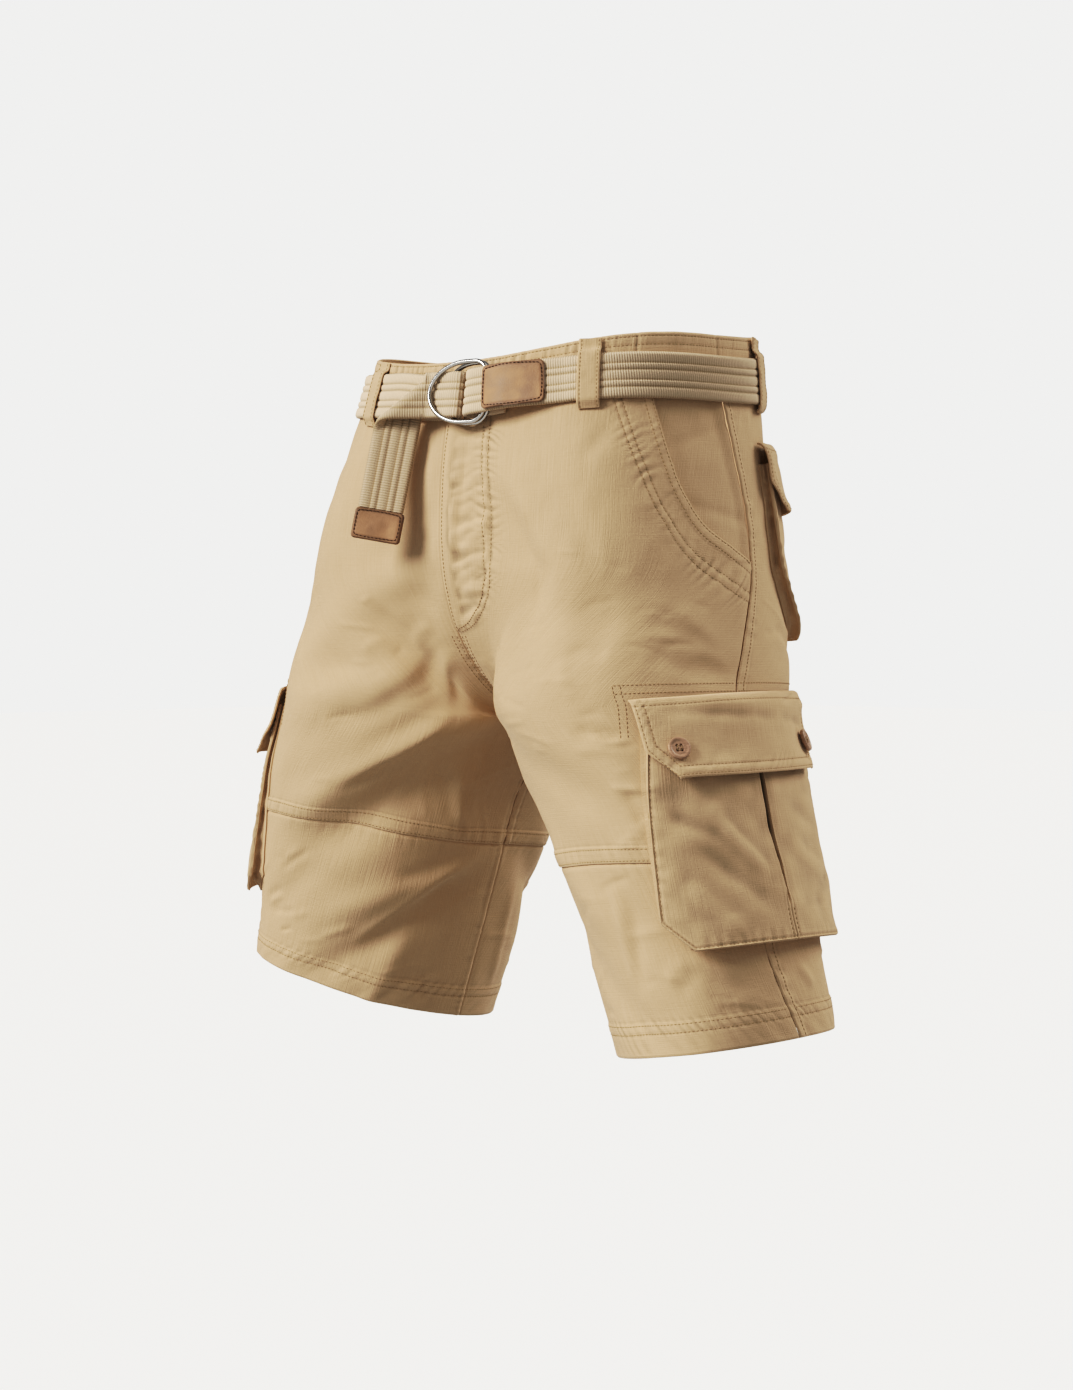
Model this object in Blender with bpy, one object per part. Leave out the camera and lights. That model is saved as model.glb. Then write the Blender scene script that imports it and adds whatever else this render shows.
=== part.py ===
"""Cargo shorts with a webbing belt, modelled as the pieces that are cut and sewn.

Sizes are metres. +X is the wearer's left, -Y the front, +Z up. The origin is the middle of the
waist opening, level with the waistband's top edge at the side seams.

The cloth lies on one surface for each side of the garment, given by two numbers:
  round  0 at the centre front or front of the inseam, 0.5 near the side seam, 1 at the centre back
  drop   the distance down from the top of the waistband
Above the crotch a section is half of the body's outline, and below it the leg's whole outline.
Every panel, pocket, loop and stretch of belt is made from points of that surface, moved out.
"""
import math

import bpy
import numpy as np

# ---------------------------------------------------------------- driving sizes
LEFT, RIGHT = 1, -1
SIDE_NAMES = {LEFT: "left", RIGHT: "right"}

CLOTH = 0.0015
SEAM_GAP = 0.0003
BAND_DEPTH = 0.040
BAND_PROUD = 0.0008
CROTCH = 0.275
SPLIT_START = 0.140
RISE_SPAN = 0.16
HEM = 0.505
HEM_DEPTH = 0.022
HEM_PROUD = 0.0008
KNEE = {LEFT: 0.387, RIGHT: 0.375}
KNEE_RISE = 0.008
FRONT_DIP = 0.018
BACK_RISE = 0.014
DIP_FADE = 0.160

MOUTH_TURN = 0.149
POCKET_MOUTH_END = 0.1705
RISE_TURN = 0.220
FACING_TUCK = 0.045
FACING_END = 0.182
FACING_CLEAR = 0.0014

BELT_WIDTH = 0.035
BELT_CLOTH = 0.0022
BELT_RIBS = (0.0085, 0.005, 0.008, 0.005, 0.0085)
RIB_HEIGHT = 0.0008
BELT_LIE = 0.0016
LOOP_WIDTH = 0.017
LOOP_LENGTH = 0.0565
LOOP_CLOTH = 0.0018
LOOP_LIE = 0.0006

WIRE = 0.0034
RING_HEIGHT = 0.049
RING_CORNER = 0.012
RING_BOW = 0.62

BUTTON_RADIUS = 0.0084
BUTTON_THICKNESS = 0.0030
BUTTON_LIE = 0.0004
BUTTON_UP = 0.020
GUSSET_LIE = 0.0010
GUSSET_FOLD = 0.003
GUSSET_CLEAR = 0.0013

# Outline of the body and the legs: how far out, in, forward and back each section reaches, the
# depth of the valley at the centre front, how far the outer half is set back, how square the
# section is, and how it slopes down outwards and backwards.
SECTION_COLUMNS = ("drop", "outer", "inner", "front", "back", "valley", "skew", "square", "tilt", "pitch")
SECTIONS = (
    (0.000, 0.157, 0.000, -0.121, 0.116, 0.000, 0.000, 0.020, 0.00, 0.00),
    (0.045, 0.163, 0.000, -0.130, 0.115, 0.004, 0.000, 0.030, 0.00, 0.00),
    (0.100, 0.175, 0.000, -0.142, 0.112, 0.009, 0.000, 0.050, 0.01, 0.00),
    (0.160, 0.189, 0.000, -0.151, 0.106, 0.016, 0.000, 0.060, 0.03, 0.00),
    (0.220, 0.204, 0.000, -0.155, 0.098, 0.020, -0.008, 0.042, 0.05, 0.00),
    (0.275, 0.218, 0.000, -0.151, 0.087, 0.018, -0.015, 0.012, 0.07, -0.01),
    (0.340, 0.232, 0.048, -0.139, 0.075, 0.000, -0.022, 0.028, 0.10, -0.02),
    (0.400, 0.248, 0.072, -0.129, 0.065, 0.000, -0.023, 0.030, 0.14, -0.03),
    (0.470, 0.266, 0.099, -0.121, 0.059, 0.000, -0.020, 0.020, 0.23, -0.08),
    (0.505, 0.273, 0.112, -0.117, 0.055, 0.000, -0.018, 0.020, 0.28, -0.12),
)

# How each hem is turned by the leg's stance: raised, and sloped outwards and backwards.
STANCE = {LEFT: (-0.002, -0.12, 0.15), RIGHT: (0.0085, -0.04, -0.028)}

# Where the side seam and the mouth of the hip pocket run.
SEAM_LINE = ((0.04, 0.510), (0.09, 0.532), (0.14, 0.553), (0.175, 0.548), (0.21, 0.522), (0.26, 0.503),
             (0.40, 0.490), (0.455, 0.486), (0.505, 0.512))
MOUTH_LINE = ((0.040, 0.358), (0.090, 0.393), (0.1235, 0.424), (0.149, 0.468), (0.1705, 0.548))

# The largest folds: which side they are on (0 for both), the two ends of each line, its half
# width, and how far it stands out, or in where that is negative.
FOLD_COLUMNS = ("side", "round_a", "drop_a", "round_b", "drop_b", "width", "rise")
FOLDS = (
    (RIGHT, 0.030, 0.245, 0.235, 0.345, 0.017, 0.0065),
    (RIGHT, 0.045, 0.290, 0.190, 0.362, 0.019, -0.0085),
    (RIGHT, 0.020, 0.190, 0.245, 0.243, 0.014, -0.0050),
    (RIGHT, 0.020, 0.168, 0.250, 0.222, 0.014, 0.0030),
    (RIGHT, 0.040, 0.218, 0.240, 0.285, 0.015, -0.0030),
    (RIGHT, 0.060, 0.392, 0.160, 0.425, 0.011, 0.0035),
    (RIGHT, 0.060, 0.415, 0.185, 0.478, 0.013, -0.0050),
    (RIGHT, 0.110, 0.455, 0.130, 0.495, 0.010, 0.0030),
    (LEFT, 0.060, 0.125, 0.205, 0.245, 0.016, -0.0040),
    (LEFT, 0.120, 0.110, 0.250, 0.215, 0.018, 0.0030),
    (LEFT, 0.060, 0.262, 0.270, 0.330, 0.018, -0.0035),
    (LEFT, 0.050, 0.285, 0.230, 0.400, 0.016, 0.0040),
    (LEFT, 0.120, 0.405, 0.260, 0.480, 0.014, -0.0030),
    (LEFT, 0.300, 0.215, 0.470, 0.250, 0.012, -0.0025),
    (0, 0.960, 0.235, 0.720, 0.300, 0.018, 0.0055),
    (0, 0.950, 0.268, 0.740, 0.345, 0.017, -0.0065),
    (0, 0.900, 0.330, 0.700, 0.395, 0.015, 0.0040),
    (RIGHT, 0.930, 0.400, 0.760, 0.470, 0.015, -0.0045),
    (LEFT, 0.900, 0.425, 0.690, 0.455, 0.015, -0.0040),
)
FOLD_SPAN = 0.55
FOLD_END = 0.035
FOLD_CLEAR = 0.06

# Bellows pockets: the side each is on (0 for both), its middle and half width, where it starts and
# ends, how far its face stands off at the top and the bottom, how far the gusset leans in at the
# sides, how much wider the pocket is at its foot and how far the face sags past it, the flap's ends,
# how much it narrows and how far its foot lifts, the size of the cut corners, how the pocket slopes
# from front to back at its top and at its foot, and the places of the buttons across the flap.
POCKET_COLUMNS = ("name", "side", "middle", "half", "top", "bottom", "stand_top", "stand_bottom", "lean",
                  "spread", "sag", "flap_top", "flap_bottom", "flap_lean", "flap_lift", "corner", "tilt_top",
                  "tilt_foot", "buttons")
CARGO_BUTTONS = (-0.062, 0.062)
POCKETS = (
    ("cargo", LEFT, 0.508, 0.091, 0.283, 0.440, 0.0065, 0.0130, 0.004,
     0.010, 0.001, 0.268, 0.327, 0.012, 0.0060, 0.020, -0.035, 0.030, CARGO_BUTTONS),
    ("cargo", RIGHT, 0.508, 0.091, 0.283, 0.444, 0.0050, 0.0120, 0.004,
     0.006, 0.001, 0.268, 0.328, 0.008, 0.0105, 0.018, 0.0, 0.0, CARGO_BUTTONS),
    ("back", 0, 0.765, 0.072, 0.096, 0.228, 0.0075, 0.0125, 0.003,
     0.000, 0.001, 0.080, 0.132, 0.003, 0.0050, 0.018, 0.0, 0.0, (0.0,)),
)
STAND_GROWTH = 1.3
FLAP_LIE = 0.0012
FLAP_OVERHANG = 0.003
FLAP_CORNER = 0.020

COLOURS = {
    "cloth": ((0.56, 0.44, 0.28, 1.0), 0.90, 0.0),
    "webbing": ((0.66, 0.57, 0.42, 1.0), 0.85, 0.0),
    "leather": ((0.30, 0.17, 0.10, 1.0), 0.60, 0.0),
    "steel": ((0.70, 0.70, 0.70, 1.0), 0.25, 1.0),
    "button": ((0.30, 0.20, 0.12, 1.0), 0.45, 0.0),
}


# ---------------------------------------------------------------- the cloth's surface
def smooth(knots, values, x):
    """A smooth curve through the knots: a cubic with slopes between its neighbours' slopes."""
    knots = np.asarray(knots, float)
    values = np.asarray(values, float)
    steps = np.diff(knots)
    slopes = np.diff(values) / steps
    tangents = np.concatenate((slopes[:1], slopes[:-1], slopes[-1:]))
    tangents[1:-1] = (slopes[:-1] * steps[1:] + slopes[1:] * steps[:-1]) / (steps[:-1] + steps[1:])
    i = np.clip(np.searchsorted(knots, x) - 1, 0, len(steps) - 1)
    t = (x - knots[i]) / steps[i]
    return ((2 * t**3 - 3 * t**2 + 1) * values[i] + (t**3 - 2 * t**2 + t) * steps[i] * tangents[i]
            + (3 * t**2 - 2 * t**3) * values[i + 1] + (t**3 - t**2) * steps[i] * tangents[i + 1])


def ease(share):
    """From 0 to 1 with level ends."""
    share = np.clip(share, 0, 1)
    return share * share * (3 - 2 * share)


def section(drop):
    """The named sizes of the section at a drop."""
    table = np.array(SECTIONS)
    sizes = {name: smooth(table[:, 0], table[:, i], drop) for i, name in enumerate(SECTION_COLUMNS) if i}
    sizes["inner"] = np.maximum(sizes["inner"], 0.0)
    return sizes


def form(side, around, drop):
    """The garment's form without its folds, as an array of points."""
    around, drop = np.broadcast_arrays(np.asarray(around, float), np.asarray(drop, float))
    q = section(drop)
    middle = (q["front"] + q["back"]) / 2
    half = (q["back"] - q["front"]) / 2

    angle = np.pi * around
    square = q["square"] * (1 + np.cos(angle)) / 2 + 0.02
    body_x = q["outer"] * (np.sin(angle) + square * np.sin(3 * angle)) / (1 - square)
    body_y = middle - half * (np.cos(angle) - square * np.cos(3 * angle)) / (1 - square)
    body_y = body_y + q["valley"] * np.clip(np.cos(angle), 0, 1)**6
    body_y = body_y - 0.4 * q["valley"] * np.clip(-np.cos(angle), 0, 1)**6

    turn = 2 * angle
    centre = (q["outer"] + q["inner"]) / 2
    reach = (q["outer"] - q["inner"]) / 2
    leg_x = centre - reach * (np.cos(turn) - q["square"] * np.cos(3 * turn)) / (1 - q["square"])
    leg_y = middle - half * (np.sin(turn) + q["square"] * np.sin(3 * turn)) / (1 - q["square"])
    leg_y = leg_y - q["skew"] * np.cos(turn)

    share = np.clip((drop - SPLIT_START) / (CROTCH - SPLIT_START), 0, 1)
    from_seam = ease(np.minimum(around, 1 - around) / RISE_SPAN)
    split = (1 - np.sqrt(1 - share**2)) * (1 - from_seam) + ease((share - 0.2) / 0.8) * from_seam
    x = body_x * (1 - split) + leg_x * split
    y = body_y * (1 - split) + leg_y * split

    fade = np.clip(1 - drop / DIP_FADE, 0, 1)**2
    z = -drop + q["tilt"] * (x - q["outer"] + (q["outer"] - q["inner"]) / 4) + q["pitch"] * (y - middle)
    z = z - fade * FRONT_DIP * np.clip(np.cos(angle), 0, 1)**3
    z = z + fade * BACK_RISE * np.clip(-np.cos(angle), 0, 1)**2
    lift, outwards, backwards = STANCE[side]
    late = np.clip((drop - CROTCH) / (HEM - CROTCH), 0, 1)**2
    z = z + late * (lift + outwards * (x - centre) + backwards * (y - middle))
    return np.stack((side * x, y, z), axis=-1)


def folds(side, around, drop):
    """How far the largest folds stand out, or in, at a place."""
    total = np.zeros(np.broadcast(around, drop).shape)
    for row in FOLDS:
        fold = dict(zip(FOLD_COLUMNS, row))
        if fold["side"] not in (0, side):
            continue
        start = np.array((fold["round_a"] * FOLD_SPAN, fold["drop_a"]))
        run = np.array((fold["round_b"] * FOLD_SPAN, fold["drop_b"])) - start
        length = np.linalg.norm(run)
        run = run / length
        across = np.asarray(around) * FOLD_SPAN - start[0]
        down = np.asarray(drop) - start[1]
        along = across * run[0] + down * run[1]
        aside = across * run[1] - down * run[0]
        past = np.maximum(np.maximum(-along, along - length), 0)
        total = total + fold["rise"] * np.exp(-(aside / fold["width"])**2 - (past / FOLD_END)**2)
    return total * ease(np.minimum(around, 1 - np.asarray(around)) / FOLD_CLEAR)


def unit(vectors):
    return vectors / np.linalg.norm(vectors, axis=-1, keepdims=True)


def outward(side, around, drop):
    """The unit vector that points out of the cloth."""
    step_round, step_drop = 0.002, 0.002
    across = form(side, around + step_round, drop) - form(side, around - step_round, drop)
    down = form(side, around, drop + step_drop) - form(side, around, drop - step_drop)
    return side * unit(np.cross(across, down)) * -1


def place(side, around, drop, out=0.0):
    """Points of the cloth's outer face, moved out of it."""
    around, drop, out = np.broadcast_arrays(np.asarray(around, float), np.asarray(drop, float), out)
    lift = (out + folds(side, around, drop))[..., None]
    return form(side, around, drop) + lift * outward(side, around, drop)


def girth(drop):
    """The length of a section's outline, for one unit of round."""
    q = section(drop)
    half = (q["back"] - q["front"]) / 2
    body = math.pi * np.sqrt((q["outer"]**2 + half**2) / 2)
    leg = 2 * math.pi * np.sqrt((((q["outer"] - q["inner"]) / 2)**2 + half**2) / 2)
    share = np.clip((drop - SPLIT_START) / (CROTCH - SPLIT_START), 0, 1)**2
    return body * (1 - share) + leg * share


def side_seam(drop):
    line = np.array(SEAM_LINE)
    return smooth(line[:, 0], line[:, 1], drop)


def pocket_mouth(drop):
    line = np.array(MOUTH_LINE)
    return smooth(line[:, 0], line[:, 1], drop)


def knee(side, around):
    """The drop of the knee seam, which is a little higher in front than behind."""
    return KNEE[side] - KNEE_RISE * np.sin(2 * np.pi * around)


# ---------------------------------------------------------------- making solids
def finish(name, verts, faces, slot):
    """A mesh object with its faces pointing out."""
    mesh = bpy.data.meshes.new(name)
    mesh.from_pydata([tuple(v) for v in verts], [], faces)
    mesh.validate()
    volume = 0.0
    for polygon in mesh.polygons:
        corners = [mesh.vertices[i].co for i in polygon.vertices]
        for i in range(1, len(corners) - 1):
            volume += corners[0].dot(corners[i].cross(corners[i + 1]))
    if volume < 0:
        mesh.flip_normals()
    mesh.shade_smooth()
    mesh.set_sharp_from_angle(angle=math.radians(40))
    obj = bpy.data.objects.new(name, mesh)
    bpy.context.collection.objects.link(obj)
    obj.data.materials.append(material(name, slot))
    return obj


def material(name, slot):
    colour, roughness, metallic = COLOURS[slot]
    made = bpy.data.materials.new(name)
    made.use_nodes = True
    shader = made.node_tree.nodes["Principled BSDF"]
    shader.inputs["Base Color"].default_value = colour
    shader.inputs["Roughness"].default_value = roughness
    shader.inputs["Metallic"].default_value = metallic
    made.diffuse_color = colour
    return made


def wall(name, outer, inner, slot, closed=False):
    """A solid between two grids of points, closed at its edges; closed joins the last row to the first."""
    rows, columns = outer.shape[:2]
    verts = np.concatenate((outer.reshape(-1, 3), inner.reshape(-1, 3)))
    below = rows * columns
    faces = []
    last_row = rows if closed else rows - 1
    for r in range(last_row):
        for c in range(columns - 1):
            a = r * columns + c
            b = ((r + 1) % rows) * columns + c
            faces.append((a, a + 1, b + 1, b))
            faces.append((below + a, below + b, below + b + 1, below + a + 1))
        for c, flip in ((0, False), (columns - 1, True)):
            a = r * columns + c
            b = ((r + 1) % rows) * columns + c
            rim = (a, b, below + b, below + a)
            faces.append(rim[::-1] if flip else rim)
    if not closed:
        for r, flip in ((0, True), (rows - 1, False)):
            for c in range(columns - 1):
                a = r * columns + c
                rim = (a, a + 1, below + a + 1, below + a)
                faces.append(rim[::-1] if flip else rim)
    return finish(name, verts, faces, slot)


def draw_in(points, amount=SEAM_GAP / 2):
    """Draws the edges of a grid of points in along the cloth, to leave the gap of a seam."""
    points = points.copy()
    for _ in range(2):
        points[0] += amount * unit(points[1] - points[0])
        points[-1] += amount * unit(points[-2] - points[-1])
        points = np.swapaxes(points, 0, 1).copy()
    return points


def keep_to_side(points, side):
    """Keeps a panel on its own side of the middle of the garment."""
    points = points.copy()
    points[..., 0] = side * np.maximum(side * points[..., 0], SEAM_GAP / 2)
    return points


def panel(name, side, around, drop, out=0.0, thick=CLOTH, slot="cloth"):
    """A cut piece that lies on the cloth's surface; around and drop are grids, out its outer face."""
    outer = keep_to_side(draw_in(place(side, around, drop, out)), side)
    inner = keep_to_side(draw_in(place(side, around, drop, out - thick)), side)
    return wall(name, outer, inner, slot)


def rows_down(*stretches):
    """Drops along a panel: each stretch is its start, its end and its number of steps."""
    drops = [np.linspace(a, b, n, endpoint=False) for a, b, n in stretches]
    return np.append(np.concatenate(drops), stretches[-1][1])


def crotch_rows(start, steps):
    """Drops that close up towards the crotch, where the outline turns quickly."""
    turns = np.linspace(math.asin((start - SPLIT_START) / (CROTCH - SPLIT_START)), math.pi / 2, steps + 1)
    return SPLIT_START + (CROTCH - SPLIT_START) * np.sin(turns)


# ---------------------------------------------------------------- the cut panels
FRONT_COLUMNS = np.array((0.0, 0.06, 0.14, 0.18, 0.28, 0.39, 0.50, 0.61, 0.72, 0.82, 0.91, 1.0))
BACK_COLUMNS = np.linspace(0, 1, 12)
FLY_EDGE = 0.076
FLY_PROUD = 0.0014
FLY_STRAIGHT_END = 0.185
FLY_END = 0.216
WAIST_COLUMNS = 24


def upper_grid(edges, columns, side):
    """The grid of an upper panel: edges gives its two sides at a drop, in round."""
    body = np.concatenate((rows_down((BAND_DEPTH, MOUTH_TURN, 6), (MOUTH_TURN, POCKET_MOUTH_END, 3),
                                     (POCKET_MOUTH_END, RISE_TURN, 3))[:-1], crotch_rows(RISE_TURN, 4)))
    around, drops = [], []
    for drop in body:
        start, end = edges(drop)
        around.append(start + columns * (end - start))
        drops.append(np.full(len(columns), drop))
    for share in np.linspace(0, 1, 7)[1:]:
        start, end = edges(CROTCH + share * (KNEE[side] - CROTCH))
        row = start + columns * (end - start)
        around.append(row)
        drops.append(CROTCH + share * (knee(side, row) - CROTCH))
    return np.array(around), np.array(drops)


def lower_grid(edges, columns, side):
    """The grid of a lower panel, and how far the turned hem stands out on each row."""
    around, drops, proud = [], [], []
    hem_top = HEM - HEM_DEPTH
    for share in np.linspace(0, 1, 6):
        start, end = edges(KNEE[side] + share * (hem_top - KNEE[side]))
        row = start + columns * (end - start)
        around.append(row)
        drops.append(knee(side, row) + share * (hem_top - knee(side, row)))
        proud.append(np.zeros(len(columns)))
    for drop in (hem_top + CLOTH, HEM):
        start, end = edges(drop)
        around.append(start + columns * (end - start))
        drops.append(np.full(len(columns), drop))
        proud.append(np.full(len(columns), HEM_PROUD))
    return np.array(around), np.array(drops), np.array(proud)


def front_edges(drop):
    return 0.0, float(pocket_mouth(drop) if drop < POCKET_MOUTH_END else side_seam(drop))


def whole_front_edges(drop):
    return 0.0, float(side_seam(drop))


def back_edges(drop):
    return float(side_seam(drop)), 1.0


def fly_relief(around, drop):
    """The fly's double cloth on the left front, with its round lower end."""
    turn = np.clip((drop - FLY_STRAIGHT_END) / (FLY_END - FLY_STRAIGHT_END), 0, 1)
    edge = FLY_EDGE * np.sqrt(1 - turn**2)
    return np.where((around <= edge + 1e-6) & (drop < FLY_END), FLY_PROUD, 0.0)


def make_panels(side):
    name = SIDE_NAMES[side]
    around, drop = upper_grid(front_edges, FRONT_COLUMNS, side)
    fly = fly_relief(around, drop) if side == LEFT else 0.0
    panel(f"front_{name}", side, around, drop, fly, CLOTH + fly)
    around, drop = upper_grid(back_edges, BACK_COLUMNS, side)
    panel(f"back_{name}", side, around, drop)
    around, drop, proud = lower_grid(whole_front_edges, FRONT_COLUMNS, side)
    panel(f"lower_front_{name}", side, around, drop, proud, CLOTH + proud)
    around, drop, proud = lower_grid(back_edges, BACK_COLUMNS, side)
    panel(f"lower_back_{name}", side, around, drop, proud, CLOTH + proud)


def make_pocket_facing(side):
    """The cloth behind the hip pocket's mouth, tucked under the front's edge."""
    drops = rows_down((BAND_DEPTH, FACING_END, 8))[:, None]
    mouth = pocket_mouth(np.minimum(drops, POCKET_MOUTH_END)) - FACING_TUCK
    around = mouth + (side_seam(drops) - mouth) * np.linspace(0, 1, 6)[None, :]
    panel(f"hip_pocket_facing_{SIDE_NAMES[side]}", side, around, drops, -(CLOTH + FACING_CLEAR))


def make_waistband(side):
    around = np.linspace(0, 1, WAIST_COLUMNS + 1)[None, :]
    drops = np.array((0.0, BAND_DEPTH / 2, BAND_DEPTH))[:, None]
    panel(f"waistband_{SIDE_NAMES[side]}", side, around, drops, BAND_PROUD, CLOTH + BAND_PROUD)


# ---------------------------------------------------------------- bellows pockets
def pocket_round(pocket, drop, across):
    """The place in round of a point a distance across the pocket."""
    return pocket["middle"] + across / girth(drop)


def askew(pocket, across, drop):
    """The drop of a point of a pocket that hangs a little out of level."""
    ends = pocket["flap_bottom"], pocket["bottom"]
    return drop + across * np.interp(drop, ends, (pocket["tilt_top"], pocket["tilt_foot"]))


def pocket_point(side, pocket, across, drop, out=0.0):
    """A point of a pocket, from its distances across and down and out of the cloth."""
    lower = askew(pocket, across, drop)
    return place(side, pocket_round(pocket, lower, across), lower, out)


def pocket_half(pocket, drop):
    """Half the width of a pocket where it is sewn to the cloth."""
    share = (drop - pocket["top"]) / (pocket["bottom"] - pocket["top"])
    return pocket["half"] + pocket["spread"] * (np.clip(share, 0, 1) - 0.5)


def pocket_outline(pocket, side_by, foot_by, steps=6):
    """The outline of a pocket down one side, along the foot and up the other, as (across, drop)."""
    foot, corner = pocket["bottom"] + foot_by, pocket["corner"]
    down = [(-pocket_half(pocket, d) - side_by, d) for d in np.linspace(pocket["top"], foot - corner, 8)]
    half = -down[-1][0]
    cut = [(-half + corner * t, foot - corner + corner * t) for t in (1 / 3, 2 / 3, 1.0)]
    foot_run = [(a, foot) for a in np.linspace(-half + corner, 0, steps)[1:]]
    side_run = down + cut + foot_run
    return np.array(side_run + [(-a, d) for a, d in side_run[-2::-1]])


def stand(pocket, drop):
    """How far the pocket's face stands off the cloth at a drop."""
    share = np.clip((drop - pocket["top"]) / (pocket["bottom"] - pocket["top"]), 0, 1)
    return pocket["stand_top"] + (pocket["stand_bottom"] - pocket["stand_top"]) * share**STAND_GROWTH


def make_gusset(name, side, pocket):
    """The strip between the cloth and the face, folded in along its middle."""
    rings = {"outer": [], "inner": []}
    for key, inset in (("outer", GUSSET_LIE), ("inner", GUSSET_LIE + CLOTH)):
        for share, fold in ((0.0, 0.0), (0.5, GUSSET_FOLD), (1.0, 0.0)):
            side_by, foot_by = -pocket["lean"] * share, pocket["sag"] * share
            outline = pocket_outline(pocket, side_by - inset - fold, foot_by - inset - fold)
            across, drop = outline[:, 0], outline[:, 1]
            top = stand(pocket, drop) - CLOTH - GUSSET_CLEAR
            out = GUSSET_LIE + (top - GUSSET_LIE) * share
            rings[key].append(pocket_point(side, pocket, across, drop, out))
    outer = np.stack(rings["outer"], axis=1)
    inner = np.stack(rings["inner"], axis=1)
    return wall(name, outer, inner, "cloth")


def make_pocket_face(name, side, pocket):
    foot = pocket["bottom"] + pocket["sag"]
    rows = np.linspace(pocket["top"], foot - pocket["corner"], 7)
    drops, halves = list(rows), [pocket_half(pocket, d) - pocket["lean"] for d in rows]
    half = halves[-1]
    for t in (1 / 3, 2 / 3, 1.0):
        drops.append(rows[-1] + pocket["corner"] * t)
        halves.append(half - pocket["corner"] * t)
    drops = np.array(drops)[:, None]
    across = np.linspace(-1, 1, 11)[None, :] * np.array(halves)[:, None]
    out = stand(pocket, drops)
    outer = pocket_point(side, pocket, across, drops, out)
    inner = pocket_point(side, pocket, across, drops, out - CLOTH)
    return wall(name, outer, inner, "cloth")


def flap_out(pocket, drop):
    """How far the flap stands off: it leaves the cloth at its top and clears the face."""
    share = np.clip((drop - pocket["flap_top"]) / (pocket["top"] - pocket["flap_top"]), 0, 1)
    rise = np.sqrt(1 - (1 - share)**2)
    clear = stand(pocket, drop) + CLOTH + FLAP_LIE
    down = np.clip((drop - pocket["top"]) / (pocket["flap_bottom"] - pocket["top"]), 0, 1)
    seat = FLAP_LIE + CLOTH
    return seat + (clear - seat) * rise + pocket["flap_lift"] * down**2


def make_flap(name, side, pocket):
    half = pocket["half"] + FLAP_OVERHANG
    drops = np.concatenate((np.linspace(pocket["flap_top"], pocket["top"], 5)[:-1],
                            np.linspace(pocket["top"], pocket["flap_bottom"] - FLAP_CORNER, 3)[:-1],
                            np.linspace(pocket["flap_bottom"] - FLAP_CORNER, pocket["flap_bottom"], 3)))
    cut = np.clip((drops - pocket["flap_bottom"] + FLAP_CORNER) / FLAP_CORNER, 0, 1)
    narrowing = pocket["flap_lean"] * np.clip((drops - pocket["flap_top"]) / 0.05, 0, 1)
    halves = half - FLAP_CORNER * cut - narrowing
    across = np.linspace(-1, 1, 11)[None, :] * halves[:, None]
    drops = drops[:, None]
    out = flap_out(pocket, drops)
    outer = pocket_point(side, pocket, across, drops, out)
    inner = pocket_point(side, pocket, across, drops, out - CLOTH)
    return wall(name, outer, inner, "cloth")


def flap_point(side, pocket, across, drop, out=0.0):
    return pocket_point(side, pocket, across, drop, flap_out(pocket, drop) + out)


def make_button(name, side, pocket, across):
    """A round button with a rim, seated on the flap."""
    drop = pocket["flap_bottom"] - BUTTON_UP
    reach = BUTTON_RADIUS
    along = flap_point(side, pocket, across, drop + reach) - flap_point(side, pocket, across, drop - reach)
    along = unit(along)
    sideways = flap_point(side, pocket, across + reach, drop) - flap_point(side, pocket, across - reach, drop)
    up = unit(np.cross(along, sideways)) * side
    sideways = np.cross(up, along)
    seat = flap_point(side, pocket, across, drop) + BUTTON_LIE * up
    profile = ((0.0, 0.0), (BUTTON_RADIUS * 0.85, 0.0), (BUTTON_RADIUS, 0.0010), (BUTTON_RADIUS, 0.0022),
               (BUTTON_RADIUS * 0.85, BUTTON_THICKNESS), (BUTTON_RADIUS * 0.62, 0.0022), (0.0, 0.0022))
    return turned(name, profile, seat, sideways, along, up, "button")


def turned(name, profile, seat, sideways, along, up, slot, sides=16):
    """A solid of revolution from (radius, height) pairs that start and end on the axis."""
    verts = [seat + up * profile[0][1]]
    for radius, height in profile[1:-1]:
        for i in range(sides):
            t = 2 * math.pi * i / sides
            verts.append(seat + up * height + radius * (math.cos(t) * sideways + math.sin(t) * along))
    verts.append(seat + up * profile[-1][1])
    faces = [(0, 1 + (i + 1) % sides, 1 + i) for i in range(sides)]
    for ring in range(len(profile) - 3):
        a = 1 + ring * sides
        for i in range(sides):
            j = (i + 1) % sides
            faces.append((a + i, a + j, a + sides + j, a + sides + i))
    a = 1 + (len(profile) - 3) * sides
    faces += [(a + i, a + (i + 1) % sides, len(verts) - 1) for i in range(sides)]
    return finish(name, np.array(verts), faces, slot)


def make_pockets(side):
    for row in POCKETS:
        pocket = dict(zip(POCKET_COLUMNS, row))
        if pocket["side"] not in (0, side):
            continue
        name = f"{pocket['name']}_pocket"
        tail = SIDE_NAMES[side]
        make_gusset(f"{name}_gusset_{tail}", side, pocket)
        make_pocket_face(f"{name}_face_{tail}", side, pocket)
        make_flap(f"{name}_flap_{tail}", side, pocket)
        for number, across in enumerate(pocket["buttons"], 1):
            make_button(f"{name}_button_{tail}_{number}", side, pocket, across)


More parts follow.
